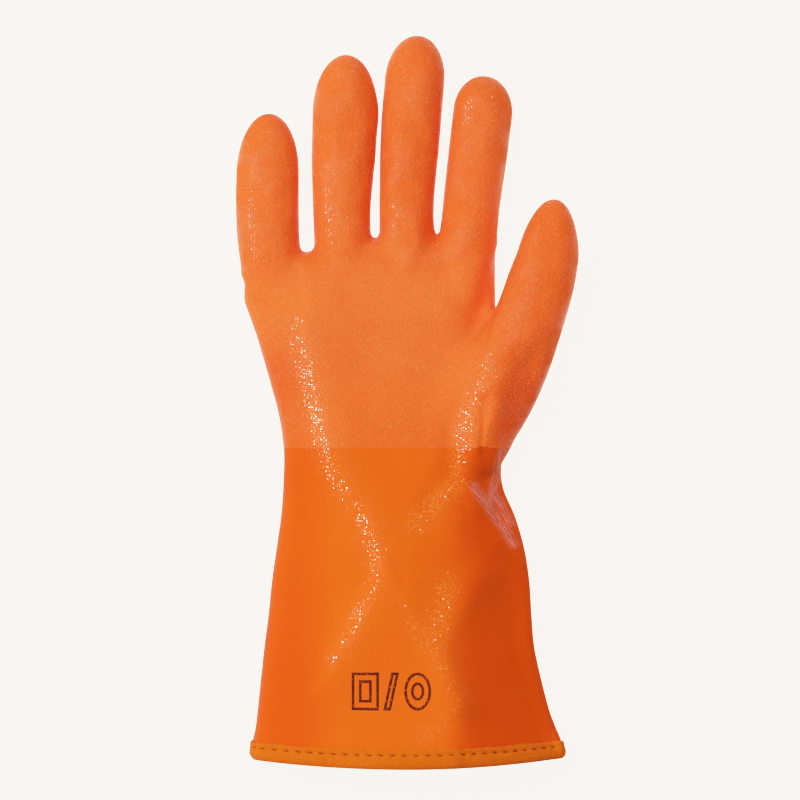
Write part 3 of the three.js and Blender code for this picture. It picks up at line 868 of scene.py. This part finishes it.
def build_stitches(surface, stitches, spacing):
    """Threads of the hem's stitches: short tubes whose height over the tape falls with the fourth
    power of the distance from their middles, so that they dip in at both ends."""
    steps, sides = STITCH["steps"], STITCH["sides"]
    along = np.linspace(-1, 1, steps)[:, None]
    turn = np.arange(sides) * 2 * np.pi / sides
    radius = STITCH["thread"] / 2 * np.sqrt(np.clip(STITCH["ends"] - along**4, 0, 1))
    column = stitches[:, None, None] + along * STITCH["length"] / 2 / spacing
    up = TAPE["stitch_up"] + STITCH["lean"] * along + radius * np.cos(turn)
    arch = TAPE["clear"] + TAPE["thick"] - STITCH["sunk"] - STITCH["dip"] * along**4
    points = on_hem(surface, column, up, arch + radius * np.sin(turn))
    one = grid_faces(steps, sides)
    faces = (one + np.arange(len(stitches))[:, None, None] * steps * sides).reshape(-1, 4)
    piece = mesh_object("hem_stitches", points.reshape(-1, 3), faces)
    with opened(piece.data) as shape:
        bmesh.ops.holes_fill(shape, edges=shape.edges[:], sides=0)
        bmesh.ops.recalc_face_normals(shape, faces=shape.faces[:])
    coat(piece, sewing_thread)
    finish_piece(piece, slot="hem_tape")


# The printed size mark: three outlined figures side by side, as corners of their middle lines, whose
# heights are shares of the mark's own, and two rings.
MARK = {"bottom": -126.8, "top": -112.6, "line": 1.15, "over": 0.05, "ink": 0.04, "spacing": 0.35,
        "ring_points": 96, "across": 4}
MARK_FIGURES = [
    [(-22.6, 0), (-22.6, 1), (-12.4, 1), (-12.4, 0)],
    [(-19.6, 0.22), (-19.6, 0.78), (-15.4, 0.78), (-15.4, 0.22)],
    [(-9.4, 0), (-6.2, 1), (-4.2, 1), (-7.4, 0)],
]
MARK_RINGS = [{"x": 4.2, "across": 5.0, "high": 0.5}, {"x": 4.2, "across": 2.2, "high": 0.22}]
MARK_RAYS = (55, 25, 61)  # from a height down to another, in steps


def mark_lines():
    """Closed lines of the mark's figures, as evenly spaced points in the cuff's own X and Y."""
    bottom, tall = MARK["bottom"], MARK["top"] - MARK["bottom"]
    lines = []
    for corners in MARK_FIGURES:
        ends = np.array(corners, float) * (1, tall) + (0, bottom)
        sides = []
        for start, end in zip(ends, np.roll(ends, -1, axis=0)):
            count = int(np.hypot(*(end - start)) / MARK["spacing"])
            sides.append(start + (end - start) * np.arange(count)[:, None] / count)
        lines.append(np.concatenate(sides))
    turn = np.arange(MARK["ring_points"]) * 2 * np.pi / MARK["ring_points"]
    for ring in MARK_RINGS:
        across = ring["x"] + ring["across"] * np.cos(turn)
        up = bottom + tall * (0.5 + ring["high"] * np.sin(turn))
        lines.append(np.stack([across, up], 1))
    return lines


def mark_strip(form, line):
    """A line's strip on the palm side: points across it, mitred at its corners, found from above."""
    ahead, behind = unit(np.roll(line, -1, axis=0) - line), unit(line - np.roll(line, 1, axis=0))
    way = ahead + behind
    way /= (way**2).sum(1)[:, None] / 2
    side = np.stack([way[:, 1], -way[:, 0]], 1)
    across = np.linspace(-0.5, 0.5, MARK["across"]) * MARK["line"]
    place = line[:, None] + side[:, None] * across[None, :, None]
    level = np.linspace(*MARK_RAYS)[:, None, None]
    rays = np.stack(np.broadcast_arrays(place[..., 0], place[..., 1], level), -1)
    return bowed(entries(form, form.pressed(), rays) + (0, 0, MARK["over"])).reshape(-1, 3)


class BuildSizeMark(bpy.types.Operator):
    """Makes the size mark printed on the cuff: outlined figures of no meaning, in dark ink"""

    bl_idname = "glove.build_size_mark"
    bl_label = "Build size mark"

    def execute(self, context):
        form = glove_form(context.scene.glove_form)
        points, faces = [], []
        for line in mark_lines():
            quads = grid_faces(len(line), MARK["across"], closed_rows=True, closed_columns=False)
            faces.append(quads + sum(map(len, points)))
            points.append(mark_strip(form, line))
        piece = mesh_object("size_mark", np.concatenate(points), np.concatenate(faces))
        with opened(piece.data) as shape:
            shape.normal_update()
            downward = [face for face in shape.faces if face.normal.z < 0]
            bmesh.ops.reverse_faces(shape, faces=downward)
        thicken(piece, MARK["ink"] * MM)
        coat(piece, print_ink)
        finish_piece(piece, slot="cuff_coat")
        return {"FINISHED"}


class GloveStudio(bpy.types.PropertyGroup):
    """The camera's place and the lights' strengths."""

    camera_height: bpy.props.FloatProperty(
        name="Camera height", description="Height of the camera over the floor", default=5.0, **LENGTH)
    view_width: bpy.props.FloatProperty(
        name="View width", description="Width that the picture covers at the glove", default=0.33333,
        **LENGTH)
    ambient: bpy.props.FloatProperty(
        name="Ambient", description="Strength of the even light from all round", default=0.14)
    key: bpy.props.FloatProperty(
        name="Key light", description="Power of the light low on the left", default=9.5, unit="POWER")
    fill: bpy.props.FloatProperty(
        name="Fill light", description="Power of the wide light overhead", default=18.2, unit="POWER")
    side: bpy.props.FloatProperty(
        name="Side light", description="Power of the small light on the right", default=2, unit="POWER")
    tips: bpy.props.FloatProperty(
        name="Tip light", description="Power of the weak light beyond the fingertips", default=1,
        unit="POWER")


# The stage, in metres: each lamp's place and size, and where the camera looks straight down.
LAMPS = {
    "key": ((-0.95, -0.05, 0.82), (0.7, 0.014)),
    "fill": ((-0.25, 0.3, 1.36), (0.9, 0.9)),
    "side": ((0.6, 0.3, 1.15), (0.03, 0.02)),
    "tips": ((0.64, 1.07, 0.63), (0.04, 0.04)),
}
SIDE_COLOR = (1, 0.8, 0.45)
WORLD_COLOR = (1, 0.9, 0.84, 1)
CAMERA = {"x": -0.0031, "y": 0.0008, "level": 0.018, "sensor": 36}
FLOOR = {"half": 4000, "z": -0.4}  # in millimetres
RESPONSE = {"white": 2.5, "curve": [(0.5, 0.5), (0.66, 0.63), (1.14, 0.82), (1.8, 0.93)]}


class BuildStage(bpy.types.Operator):
    """Makes the pale floor, the soft studio lights and the camera that looks straight down"""

    bl_idname = "glove.build_stage"
    bl_label = "Build stage"

    def execute(self, context):
        studio = context.scene.glove_studio
        half, z = FLOOR["half"], FLOOR["z"]
        corners = [(-half, -half, z), (half, -half, z), (half, half, z), (-half, half, z)]
        floor = mesh_object("floor", corners, [(0, 1, 2, 3)], smooth=False)
        coat(floor, pale_floor)
        world = context.scene.world = bpy.data.worlds.new("studio")
        world.use_nodes = True
        background = world.node_tree.nodes["Background"].inputs
        background["Color"].default_value = WORLD_COLOR
        background["Strength"].default_value = studio.ambient
        world.cycles_visibility.glossy = False
        lamps = {name: area_light(name, *LAMPS[name], getattr(studio, name)) for name in LAMPS}
        lamps["fill"].visible_glossy = False
        lamps["side"].data.color = SIDE_COLOR
        lamps["side"].visible_diffuse = False
        camera = bpy.data.objects.new("camera", bpy.data.cameras.new("camera"))
        context.scene.collection.objects.link(camera)
        camera.location = (CAMERA["x"], CAMERA["y"], studio.camera_height)
        camera.data.sensor_fit = "HORIZONTAL"
        camera.data.sensor_width = CAMERA["sensor"]
        distance = studio.camera_height - CAMERA["level"]
        camera.data.lens = CAMERA["sensor"] * distance / studio.view_width
        context.scene.camera = camera
        set_response(context.scene.view_settings)
        return {"FINISHED"}


def set_response(view):
    """Makes bright light roll off as it does in a camera: straight up to the curve's first point,
    then ever flatter up to the brightest light, which is white."""
    view.view_transform = "Standard"
    view.use_curve_mapping = True
    mapping = view.curve_mapping
    mapping.white_level = (RESPONSE["white"],) * 3
    combined = mapping.curves[3]
    for light, shown in RESPONSE["curve"]:
        combined.points.new(light / RESPONSE["white"], shown)
    for point in list(combined.points)[:2]:
        point.handle_type = "VECTOR"
    mapping.update()


def area_light(name, place, size, power_in_watts):
    """A rectangular light that points at the glove's middle."""
    light = bpy.data.lights.new(name, "AREA")
    light.shape = "RECTANGLE"
    light.size, light.size_y = size
    light.energy = power_in_watts
    lamp = bpy.data.objects.new(name, light)
    lamp.location = place
    lamp.rotation_euler = (-Vector(place)).to_track_quat("-Z", "Y").to_euler()
    bpy.context.scene.collection.objects.link(lamp)
    return lamp


def fill_in(tree, sockets, values):
    """Gives each named socket a value or a link."""
    for name, value in values.items():
        if isinstance(value, bpy.types.NodeSocket):
            tree.links.new(value, sockets[name])
        else:
            sockets[name].default_value = value


def material(describe):
    """A material, made once: a function of its name describes what its shader's sockets get."""
    found = bpy.data.materials.get(describe.__name__)
    if found:
        return found
    made = bpy.data.materials.new(describe.__name__)
    made.use_nodes = True
    tree = made.node_tree
    shader = tree.nodes["Principled BSDF"].inputs
    fill_in(tree, shader, describe(tree, shader))
    return made


def node(tree, kind, inputs, **settings):
    """Adds a node, sets it, gives each named input a value or a link, and returns its outputs."""
    made = tree.nodes.new("ShaderNode" + kind)
    for name, value in settings.items():
        setattr(made, name, value)
    fill_in(tree, made.inputs, inputs)
    return made.outputs


def math(tree, operation, a, b=0.0, c=0.0):
    """A sum, product or other operation on values."""
    return node(tree, "Math", {0: a, 1: b, 2: c}, operation=operation)[0]


def times(tree, a, b):
    """The product of two values."""
    return math(tree, "MULTIPLY", a, b)


def vector_math(tree, operation, a, b, result="Vector"):
    """A sum, product or other operation on vectors."""
    return node(tree, "VectorMath", {0: a, 1: b}, operation=operation)[result]


def split(tree, vector):
    """A vector's X, Y and Z."""
    return node(tree, "SeparateXYZ", {"Vector": vector})


def fade(tree, value, low, high, to_low=0.0, to_high=1.0):
    """A value carried smoothly from one range to another."""
    inputs = {"Value": value, "From Min": low, "From Max": high, "To Min": to_low, "To Max": to_high}
    return node(tree, "MapRange", inputs, interpolation_type="SMOOTHSTEP")[0]


def mixed(tree, share, a, b, blend="MIX"):
    """A colour between two, or between one and its product with a tint."""
    return node(tree, "Mix", {0: share, 6: a, 7: b}, data_type="RGBA", blend_type=blend)[2]


def noise(tree, place, scale, detail=2.0, roughness=0.5):
    """Cloudy noise from 0 to 1."""
    inputs = {"Vector": place, "Scale": scale, "Detail": detail, "Roughness": roughness}
    return node(tree, "TexNoise", inputs)[0]


def bump(tree, height, depth, normal=None):
    """A normal bent by a height that is worth a depth in metres where it is 1."""
    inputs = {"Height": height, "Distance": depth, "Strength": 1.0}
    if normal is not None:
        inputs["Normal"] = normal
    return node(tree, "Bump", inputs)["Normal"]


def relief(tree, heights, depths):
    """A normal bent by one height after another, each worth its own depth."""
    normal = None
    for name, height in heights.items():
        normal = bump(tree, height, depths[name], normal)
    return normal


def object_place(tree):
    """The place on a piece, in metres, which is its place in the frame too."""
    return node(tree, "TexCoord", {})["Object"]


def group(name, inputs, outputs, build):
    """A shader node group, built once: build gets its tree and inputs and returns its outputs."""
    found = bpy.data.node_groups.get(name)
    if found:
        return found
    tree = bpy.data.node_groups.new(name, "ShaderNodeTree")
    for label, default in inputs.items():
        kind = "Float" if isinstance(default, float) else default
        socket = tree.interface.new_socket(label, in_out="INPUT", socket_type="NodeSocket" + kind)
        if kind == "Float":
            socket.default_value = default
    for label, kind in outputs.items():
        tree.interface.new_socket(label, in_out="OUTPUT", socket_type="NodeSocket" + kind)
    ends = tree.nodes.new("NodeGroupOutput").inputs
    fill_in(tree, ends, build(tree, tree.nodes.new("NodeGroupInput").outputs))
    return tree


# Parts of the glove that get their own relief, gloss, tone, painted shade or painted sparkle: the axes
# each is measured along, and on each axis where it begins and where it is in full, in metres.
PARTS = {
    "fingers": [("Y", 0.045, 0.065)],
    "thumb": [("X", 0.03, 0.044), ("Y", -0.03, 0.0)],
    "left side of the palm": [("X", -0.034, -0.055), ("Y", 0.04, 0.01)],
    "heel of the thumb": [("X", 0.032, 0.042), ("Y", 0.03, 0.0)],
    "lower palm": [("Y", 0.025, -0.012)],
    "left side of the cuff": [("X", -0.026, -0.048)],
    "right side of the cuff": [("X", 0.012, 0.032)],
    "gritty side of the cuff": [("X", -0.007, 0.0)],
    "palm side": [("Z", 0.014, 0.02)],
}


def within(tree, place, name):
    """How far each place is in a part of the glove, from 0 to 1."""
    fades = [fade(tree, split(tree, place)[axis], *ends) for axis, *ends in PARTS[name]]
    return times(tree, *fades) if len(fades) == 2 else fades[0]


def tinted(tree, color, share, name):
    """A colour deepened by a part's tint, as far as a share: a redder tone on the fingers and the lower
    palm, painted shade on the sides of the palm and cuff and on the thumb's heel.
    """
    return mixed(tree, share, color, TONES_AND_PAINTED_SHADE[name], "MULTIPLY")


def granules(tree, place, size, cover, radius):
    """Small round grains scattered over a coat, each a bump in a random cell: its height falls with
    the square of the distance from the middle of the cell."""

    def build(tree, given):
        scale = math(tree, "DIVIDE", 1.0, given["Size"])
        cells = node(tree, "TexVoronoi", {"Vector": given["Vector"], "Scale": scale, "Randomness": 1.0},
                     feature="F1", voronoi_dimensions="3D")
        share = math(tree, "DIVIDE", cells["Distance"], given["Radius"])
        grain = fade(tree, times(tree, share, share), 0.0, 1.0, 1.0, 0.0)
        chance = node(tree, "SeparateColor", {"Color": cells["Color"]})[0]
        chosen = fade(tree, math(tree, "SUBTRACT", given["Cover"], chance), 0.0, 0.25)
        return {"Height": times(tree, grain, chosen)}

    made = group("granules", {"Vector": "Vector", "Size": 0.001, "Cover": 0.5, "Radius": 0.4},
                 {"Height": "Float"}, build)
    inputs = {"Vector": place, "Size": size, "Cover": cover, "Radius": radius}
    return node(tree, "Group", inputs, node_tree=made)["Height"]


STITCH_SIZE = 0.55  # in a cell one wide, as the sizes of the glint are
GLINT_SIZE = (0.18, 0.36)
GLINT_CHANCE = (-0.1, 0.8)
STREAKS = {"across": 2000.0, "along": 130.0, "shown": (0.33, 0.6)}  # scales of a fold's noise
MOTTLE = {"broad": 28.0, "fine": 900.0, "fine_share": 0.35, "shown": (0.35, 0.65)}


def knitted(tree, place, column, row, unevenness):
    """The stitches of a knit under a coat: low bumps in slightly uneven columns and rows, a small
    glint on some of them, and how each of them leans, at random."""

    def build(tree, given):
        pitch = node(tree, "CombineXYZ", {"X": math(tree, "DIVIDE", 1.0, given["Column"]),
                                          "Y": math(tree, "DIVIDE", 1.0, given["Row"]), "Z": 1.0})[0]
        place = vector_math(tree, "MULTIPLY", given["Vector"], pitch)
        inputs = {"Vector": place, "Scale": 1.0, "Randomness": given["Unevenness"]}
        cells = node(tree, "TexVoronoi", inputs, feature="F1", voronoi_dimensions="2D")
        row = math(tree, "SINE", times(tree, split(tree, place)["Y"], 6.2832))
        chance = node(tree, "SeparateColor", {"Color": cells["Color"]})[2]
        dot = fade(tree, cells["Distance"], *GLINT_SIZE, 1.0, 0.0)
        away = vector_math(tree, "SUBTRACT", place, cells["Position"])
        lean = vector_math(tree, "SUBTRACT", cells["Color"], (0.5, 0.5, 0.5))
        return {
            "Stitches": fade(tree, cells["Distance"], 0.0, STITCH_SIZE, 1.0, 0.0),
            "Rows": math(tree, "MULTIPLY_ADD", row, 0.5, 0.5),
            "Glint": times(tree, dot, fade(tree, chance, *GLINT_CHANCE)),
            "Tilt": vector_math(tree, "DOT_PRODUCT", away, lean, "Value"),
        }

    made = group("knit", {"Vector": "Vector", "Column": 0.001, "Row": 0.001, "Unevenness": 0.4},
                 dict.fromkeys(("Stitches", "Rows", "Glint", "Tilt"), "Float"), build)
    inputs = {"Vector": place, "Column": column, "Row": row, "Unevenness": unevenness}
    return node(tree, "Group", inputs, node_tree=made)


def fine_folds(tree, place, start, end, width):
    """A bundle of fine sharp folds along a straight line, seen from above: streaks of noise that
    run along the line and fade with the distance from it."""

    def build(tree, given):
        level = vector_math(tree, "MULTIPLY", given["Vector"], (1, 1, 0))
        line = vector_math(tree, "SUBTRACT", given["End"], given["Start"])
        away = vector_math(tree, "SUBTRACT", level, given["Start"])
        reached, whole = (vector_math(tree, "DOT_PRODUCT", a, line, "Value") for a in (away, line))
        share = node(tree, "Clamp", {"Value": math(tree, "DIVIDE", reached, whole)})[0]
        nearest = node(tree, "VectorMath", {0: line, "Scale": share}, operation="SCALE")[0]
        distance = vector_math(tree, "DISTANCE", away, nearest, "Value")
        turned = vector_math(tree, "CROSS_PRODUCT", line, away)
        length = math(tree, "SQRT", whole)
        across = math(tree, "DIVIDE", split(tree, turned)["Z"], length)
        along = math(tree, "DIVIDE", reached, length)
        stretched = node(tree, "CombineXYZ", {"X": times(tree, across, STREAKS["across"]),
                                              "Y": times(tree, along, STREAKS["along"])})[0]
        streaks = fade(tree, noise(tree, stretched, 1.0, 1.0), *STREAKS["shown"])
        return {"Height": times(tree, fade(tree, distance, 0.0, given["Width"], 1.0, 0.0), streaks)}

    made = group("fine_folds", {"Vector": "Vector", "Start": "Vector", "End": "Vector",
                                "Width": 0.001}, {"Height": "Float"}, build)
    inputs = {"Vector": place, "Start": start, "End": end, "Width": width}
    return node(tree, "Group", inputs, node_tree=made)["Height"]


def wrinkles(tree, place):
    """How near each place is to the top of one of the wrist's sharp folds, on its palm side."""
    height = 0.0
    for x, y, to_x, to_y, width in WRINKLES * MM:
        bundle = fine_folds(tree, place, (x, y, 0), (to_x, to_y, 0), width)
        height = math(tree, "MAXIMUM", bundle, height)
    return times(tree, height, within(tree, place, "palm side"))


def mottled(tree, place, colors):
    """A colour that drifts a little between two, in broad and in fine patches."""

    def build(tree, given):
        broad = noise(tree, given["Vector"], MOTTLE["broad"], 3.0)
        broad = times(tree, broad, 1 - MOTTLE["fine_share"])
        fine = noise(tree, given["Vector"], MOTTLE["fine"], 2.0, 0.6)
        both = math(tree, "MULTIPLY_ADD", fine, MOTTLE["fine_share"], broad)
        share = fade(tree, both, *MOTTLE["shown"])
        return {"Color": mixed(tree, share, given["Color A"], given["Color B"])}

    made = group("mottle", {"Vector": "Vector", "Color A": "Color", "Color B": "Color"},
                 {"Color": "Color"}, build)
    inputs = {"Vector": place, "Color A": colors[0], "Color B": colors[1]}
    return node(tree, "Group", inputs, node_tree=made)["Color"]


def coat_colors(name):
    """A coat's two colours, from the sidebar."""
    colors = bpy.context.scene.glove_colors
    return tuple(getattr(colors, name)), tuple(getattr(colors, name + "_light"))


# How a coat's colour is multiplied on parts of the glove: on the fingers and the lower palm a redder
# tone; on the left side of the palm, the heel of the thumb and both sides of the cuff painted shade
# that darkens those sides.
TONES_AND_PAINTED_SHADE = {
    "fingers": (0.99, 0.86, 0.79, 1),
    "left side of the palm": (0.87, 0.71, 0.75, 1),
    "heel of the thumb": (0.90, 0.74, 0.68, 1),
    "lower palm": (1.0, 0.94, 0.76, 1),
    "left side of the cuff": (0.87, 0.71, 0.75, 1),
    "right side of the cuff": (0.79, 0.60, 0.64, 1),
}
# A lighter orange painted on the hand's grains, as painted glints.
PAINTED_GLINT_COLOR = (1.0, 0.34, 0.11, 1)
# A yellower orange painted in fine specks on the cuff's thumb side where it is rubbed, as painted
# sparkle.
PAINTED_SPARKLE_COLOR = (1.0, 0.42, 0.05, 1)
# A pale pink painted on the tops of the wrist's sharp folds, as a painted sheen.
PAINTED_FOLD_SHEEN = (0.78, 0.34, 0.28, 1)
THREAD_COLORS = ((0.20, 0.035, 0.004, 1), (0.28, 0.050, 0.006, 1))
LINER_COLORS = ((0.62, 0.50, 0.38, 1), (0.72, 0.60, 0.47, 1))
INK_COLORS = ((0.075, 0.014, 0.004, 1), (0.13, 0.022, 0.006, 1))
FLOOR_COLORS = ((0.1, 0.1, 0.095, 1), (0.105, 0.105, 0.1, 1))
# The knit's rows on the palm bow about a centre and show between two distances from it, in metres.
BOWED_ROWS = {"centre": (0.02, -0.03, 0.02), "reach": (0.065, 0.035), "scale": 350.0}

# How deep each relief of a coat or cloth is, in metres.
HAND_RELIEF = {"rows": 0.00003, "dents": 0.0024, "leather": 0.00035, "fine_grains": 0.00012,
               "grains": 0.0002, "lean": 0.00032}
CUFF_RELIEF = {"rows": 0.00001, "skin": 0.00005, "stitches": 0.00006, "folds": 0.0003,
               "lean": 0.00036}
TAPE_RELIEF = {"pleats": 0.0004, "threads": 0.00008}
LINER_RELIEF = 0.0003
TWIST_RELIEF = 0.00004


def rubbed_gloss(tree):
    """How far the coat is rubbed to a high gloss, as the mesh keeps it."""
    return node(tree, "Attribute", {}, attribute_name="gloss")["Fac"]


def glinting(tree, knit, gloss, lean):
    """The sockets of a clear film where a coat is rubbed: it glints at the stitches' tops, which
    lean a little at random."""
    return {
        "Coat Weight": times(tree, knit["Glint"], gloss),
        "Coat Normal": bump(tree, knit["Tilt"], lean),
        "Coat Roughness": 0.22,
        "Coat IOR": 2.4,
    }


def pale_floor(tree, shader):
    """Pale paint that glows a little, so that the floor stays even."""
    seen = node(tree, "LightPath", {})["Is Camera Ray"]
    return {
        "Base Color": mixed(tree, noise(tree, object_place(tree), 3.0), *FLOOR_COLORS),
        "Emission Strength": fade(tree, seen, 0.0, 1.0, 1.55, 1.66),
        "Emission Color": (1, 0.98, 0.825, 1),
        "Roughness": 0.9,
        "Specular IOR Level": 0.0,
    }


def granular_coat(tree, shader):
    """The second coat: semi-matte, leathery, with round grains and a faint knit beneath; its grains are
    painted lighter as painted glints, and its left side and the thumb's heel carry painted shade. The
    fingers have deeper grains and dents, a redder tone, and patches that shine a little."""
    place = object_place(tree)
    stalls = (within(tree, place, name) for name in ("fingers", "thumb"))
    finger = math(tree, "MAXIMUM", *stalls)
    color = tinted(tree, mottled(tree, place, coat_colors("hand")), finger, "fingers")
    # The left side of the palm and the thumb's heel are darkened by painted shade; the lower palm gets
    # a redder tone.
    for name in ("left side of the palm", "heel of the thumb", "lower palm"):
        color = tinted(tree, color, within(tree, place, name), name)
    grains = granules(tree, place, size=0.0013, cover=0.5, radius=0.33)
    fine_grains = granules(tree, place, size=0.0006, cover=0.5, radius=0.4)
    # The grains, most of all on the fingers, and the fine grains are painted a lighter orange, as
    # painted glints.
    grain_glints = math(tree, "MULTIPLY_ADD", grains, fade(tree, finger, 0.0, 1.0, 0.14, 0.55),
                  times(tree, fine_grains, 0.9))
    leather = noise(tree, place, 1300.0)
    dented = noise(tree, place, 75.0, 1.0)
    away = vector_math(tree, "SUBTRACT", place, BOWED_ROWS["centre"])
    rows = node(tree, "TexWave", {"Vector": away, "Scale": BOWED_ROWS["scale"], "Distortion": 1.5,
                                  "Detail": 1.0, "Detail Scale": 0.3},
                wave_type="RINGS", rings_direction="SPHERICAL")["Fac"]
    reach = vector_math(tree, "LENGTH", away, (0, 0, 0), "Value")
    heights = {
        "rows": times(tree, rows, fade(tree, reach, *BOWED_ROWS["reach"])),
        "dents": times(tree, dented, finger),
        "leather": leather,
        "fine_grains": fine_grains,
        "grains": times(tree, grains, fade(tree, finger, 0.0, 1.0, 0.4, 1.0)),
    }
    patches = fade(tree, dented, 0.4, 0.62, 0.02, 0.2)
    knit = knitted(tree, place, column=0.001, row=0.00088, unevenness=0.45)
    shader["Specular IOR Level"].default_value = 0.06
    return {
        "Base Color": mixed(tree, grain_glints, color, PAINTED_GLINT_COLOR),
        "Normal": relief(tree, heights, HAND_RELIEF),
        "Roughness": fade(tree, leather, 0.3, 0.7, 0.3, 0.4),
        "Specular IOR Level": fade(tree, finger, 0.0, 1.0, 0.03, patches),
        **glinting(tree, knit, rubbed_gloss(tree), HAND_RELIEF["lean"]),
    }


def coat_normal(tree, vector, place):
    """The relief of the first coat, which the print on it shares, and the knit beneath it."""
    knit = knitted(tree, vector, column=0.00105, row=0.0009, unevenness=0.55)
    heights = {"rows": knit["Rows"], "skin": noise(tree, place, 700.0), "stitches": knit["Stitches"]}
    return relief(tree, heights, CUFF_RELIEF), knit


def glossy_coat(tree, shader):
    """The first coat: smooth, dimpled by the knit beneath it, with painted sparkle where it is rubbed
    on the thumb's side, painted shade on both its sides, and a painted pale sheen on its sharp folds."""
    place = object_place(tree)
    color = mottled(tree, place, coat_colors("cuff"))
    # Both sides of the cuff are darkened by painted shade.
    for name in ("left side of the cuff", "right side of the cuff"):
        color = tinted(tree, color, within(tree, place, name), name)
    normal, knit = coat_normal(tree, node(tree, "UVMap", {}, uv_map="cuff")[0], place)
    gloss = rubbed_gloss(tree)
    # Fine specks on the thumb's side of the cuff, where it is rubbed, are painted a yellower orange, as
    # painted sparkle.
    sparkle_specks = times(tree, granules(tree, place, size=0.0006, cover=0.6, radius=0.4),
                 within(tree, place, "gritty side of the cuff"))
    sparkly = mixed(tree, times(tree, sparkle_specks, gloss), color, PAINTED_SPARKLE_COLOR)
    folds = wrinkles(tree, place)
    return {
        # The tops of the sharp folds are painted paler, as a painted sheen; their relief is real.
        "Base Color": mixed(tree, times(tree, folds, 0.6), sparkly, PAINTED_FOLD_SHEEN),
        "Normal": bump(tree, folds, CUFF_RELIEF["folds"], normal),
        "Roughness": 0.5,
        "Specular IOR Level": 0.012,
        **glinting(tree, knit, gloss, CUFF_RELIEF["lean"]),
    }


def print_ink(tree, shader):
    """Dark print on the first coat, worn through in specks."""
    place = object_place(tree)
    worn = fade(tree, noise(tree, place, 1500.0, 1.0), 0.62, 0.72)
    return {
        "Base Color": mixed(tree, worn, mottled(tree, place, INK_COLORS), coat_colors("cuff")[0]),
        "Normal": coat_normal(tree, place, place)[0],
        "Roughness": 0.5,
        "Specular IOR Level": 0.1,
    }


def knitted_liner(tree, shader):
    """The knitted liner that shows inside the cuff."""
    place = object_place(tree)
    knit = knitted(tree, place, column=0.0012, row=0.001, unevenness=0.3)
    return {
        "Base Color": mottled(tree, place, LINER_COLORS),
        "Normal": bump(tree, knit["Stitches"], LINER_RELIEF),
        "Roughness": 0.9,
        "Sheen Weight": 0.3,
    }


def woven_tape(tree, shader):
    """Matt woven tape: threads across and along it, and small pleats."""
    tape_map = node(tree, "UVMap", {}, uv_map="tape")[0]
    color = mottled(tree, object_place(tree), coat_colors("tape"))
    knit = knitted(tree, tape_map, column=0.0005, row=0.00045, unevenness=0.2)
    darker = node(tree, "HueSaturation", {"Color": color, "Value": 0.8})[0]
    pleats = noise(tree, vector_math(tree, "MULTIPLY", tape_map, (420, 70, 0)), 1.0)
    heights = {"pleats": pleats, "threads": knit["Stitches"]}
    return {
        "Base Color": mixed(tree, fade(tree, knit["Stitches"], 0.0, 0.8), darker, color),
        "Normal": relief(tree, heights, TAPE_RELIEF),
        "Roughness": 0.8,
        "Specular IOR Level": 0.05,
    }


def sewing_thread(tree, shader):
    """Sewing thread: darker, with a fine twist."""
    place = object_place(tree)
    turned = node(tree, "Mapping", {"Vector": place, "Rotation": (0.0, 0.0, 0.6)})[0]
    twist = node(tree, "TexWave", {"Vector": turned, "Scale": 900.0, "Distortion": 1.0})[1]
    return {
        "Base Color": mottled(tree, place, THREAD_COLORS),
        "Normal": bump(tree, twist, TWIST_RELIEF),
        "Roughness": 0.8,
        "Specular IOR Level": 0.05,
    }


BUILD_ORDER = ("build_stage", "build_hand", "build_gauntlet", "build_binding", "build_size_mark")
GROUPS = {"glove_form": GloveForm, "glove_colors": GloveColors, "glove_studio": GloveStudio}


class GlovePanel(bpy.types.Panel):
    """The glove's pieces, sizes and colours, in the sidebar of the 3D view"""

    bl_idname = "VIEW3D_PT_glove"
    bl_label = "Coated glove"
    bl_space_type = "VIEW_3D"
    bl_region_type = "UI"
    bl_category = "Glove"

    def draw(self, context):
        for name in BUILD_ORDER:
            self.layout.operator("glove." + name)
        for name in GROUPS:
            box = self.layout.box()
            values = getattr(context.scene, name)
            for key in values.bl_rna.properties.keys():
                if key not in {"rna_type", "name"}:
                    box.prop(values, key)


CLASSES = (*GROUPS.values(), BuildStage, BuildHand, BuildGauntlet, BuildBinding, BuildSizeMark,
           GlovePanel)


def register():
    for each in CLASSES:
        bpy.utils.register_class(each)
    for name, values in GROUPS.items():
        setattr(bpy.types.Scene, name, bpy.props.PointerProperty(type=values))


def unregister():
    for name in GROUPS:
        delattr(bpy.types.Scene, name)
    for each in reversed(CLASSES):
        bpy.utils.unregister_class(each)


def main():
    register()
    for name in BUILD_ORDER:
        getattr(bpy.ops.glove, name)()


if __name__ == "__main__":
    main()
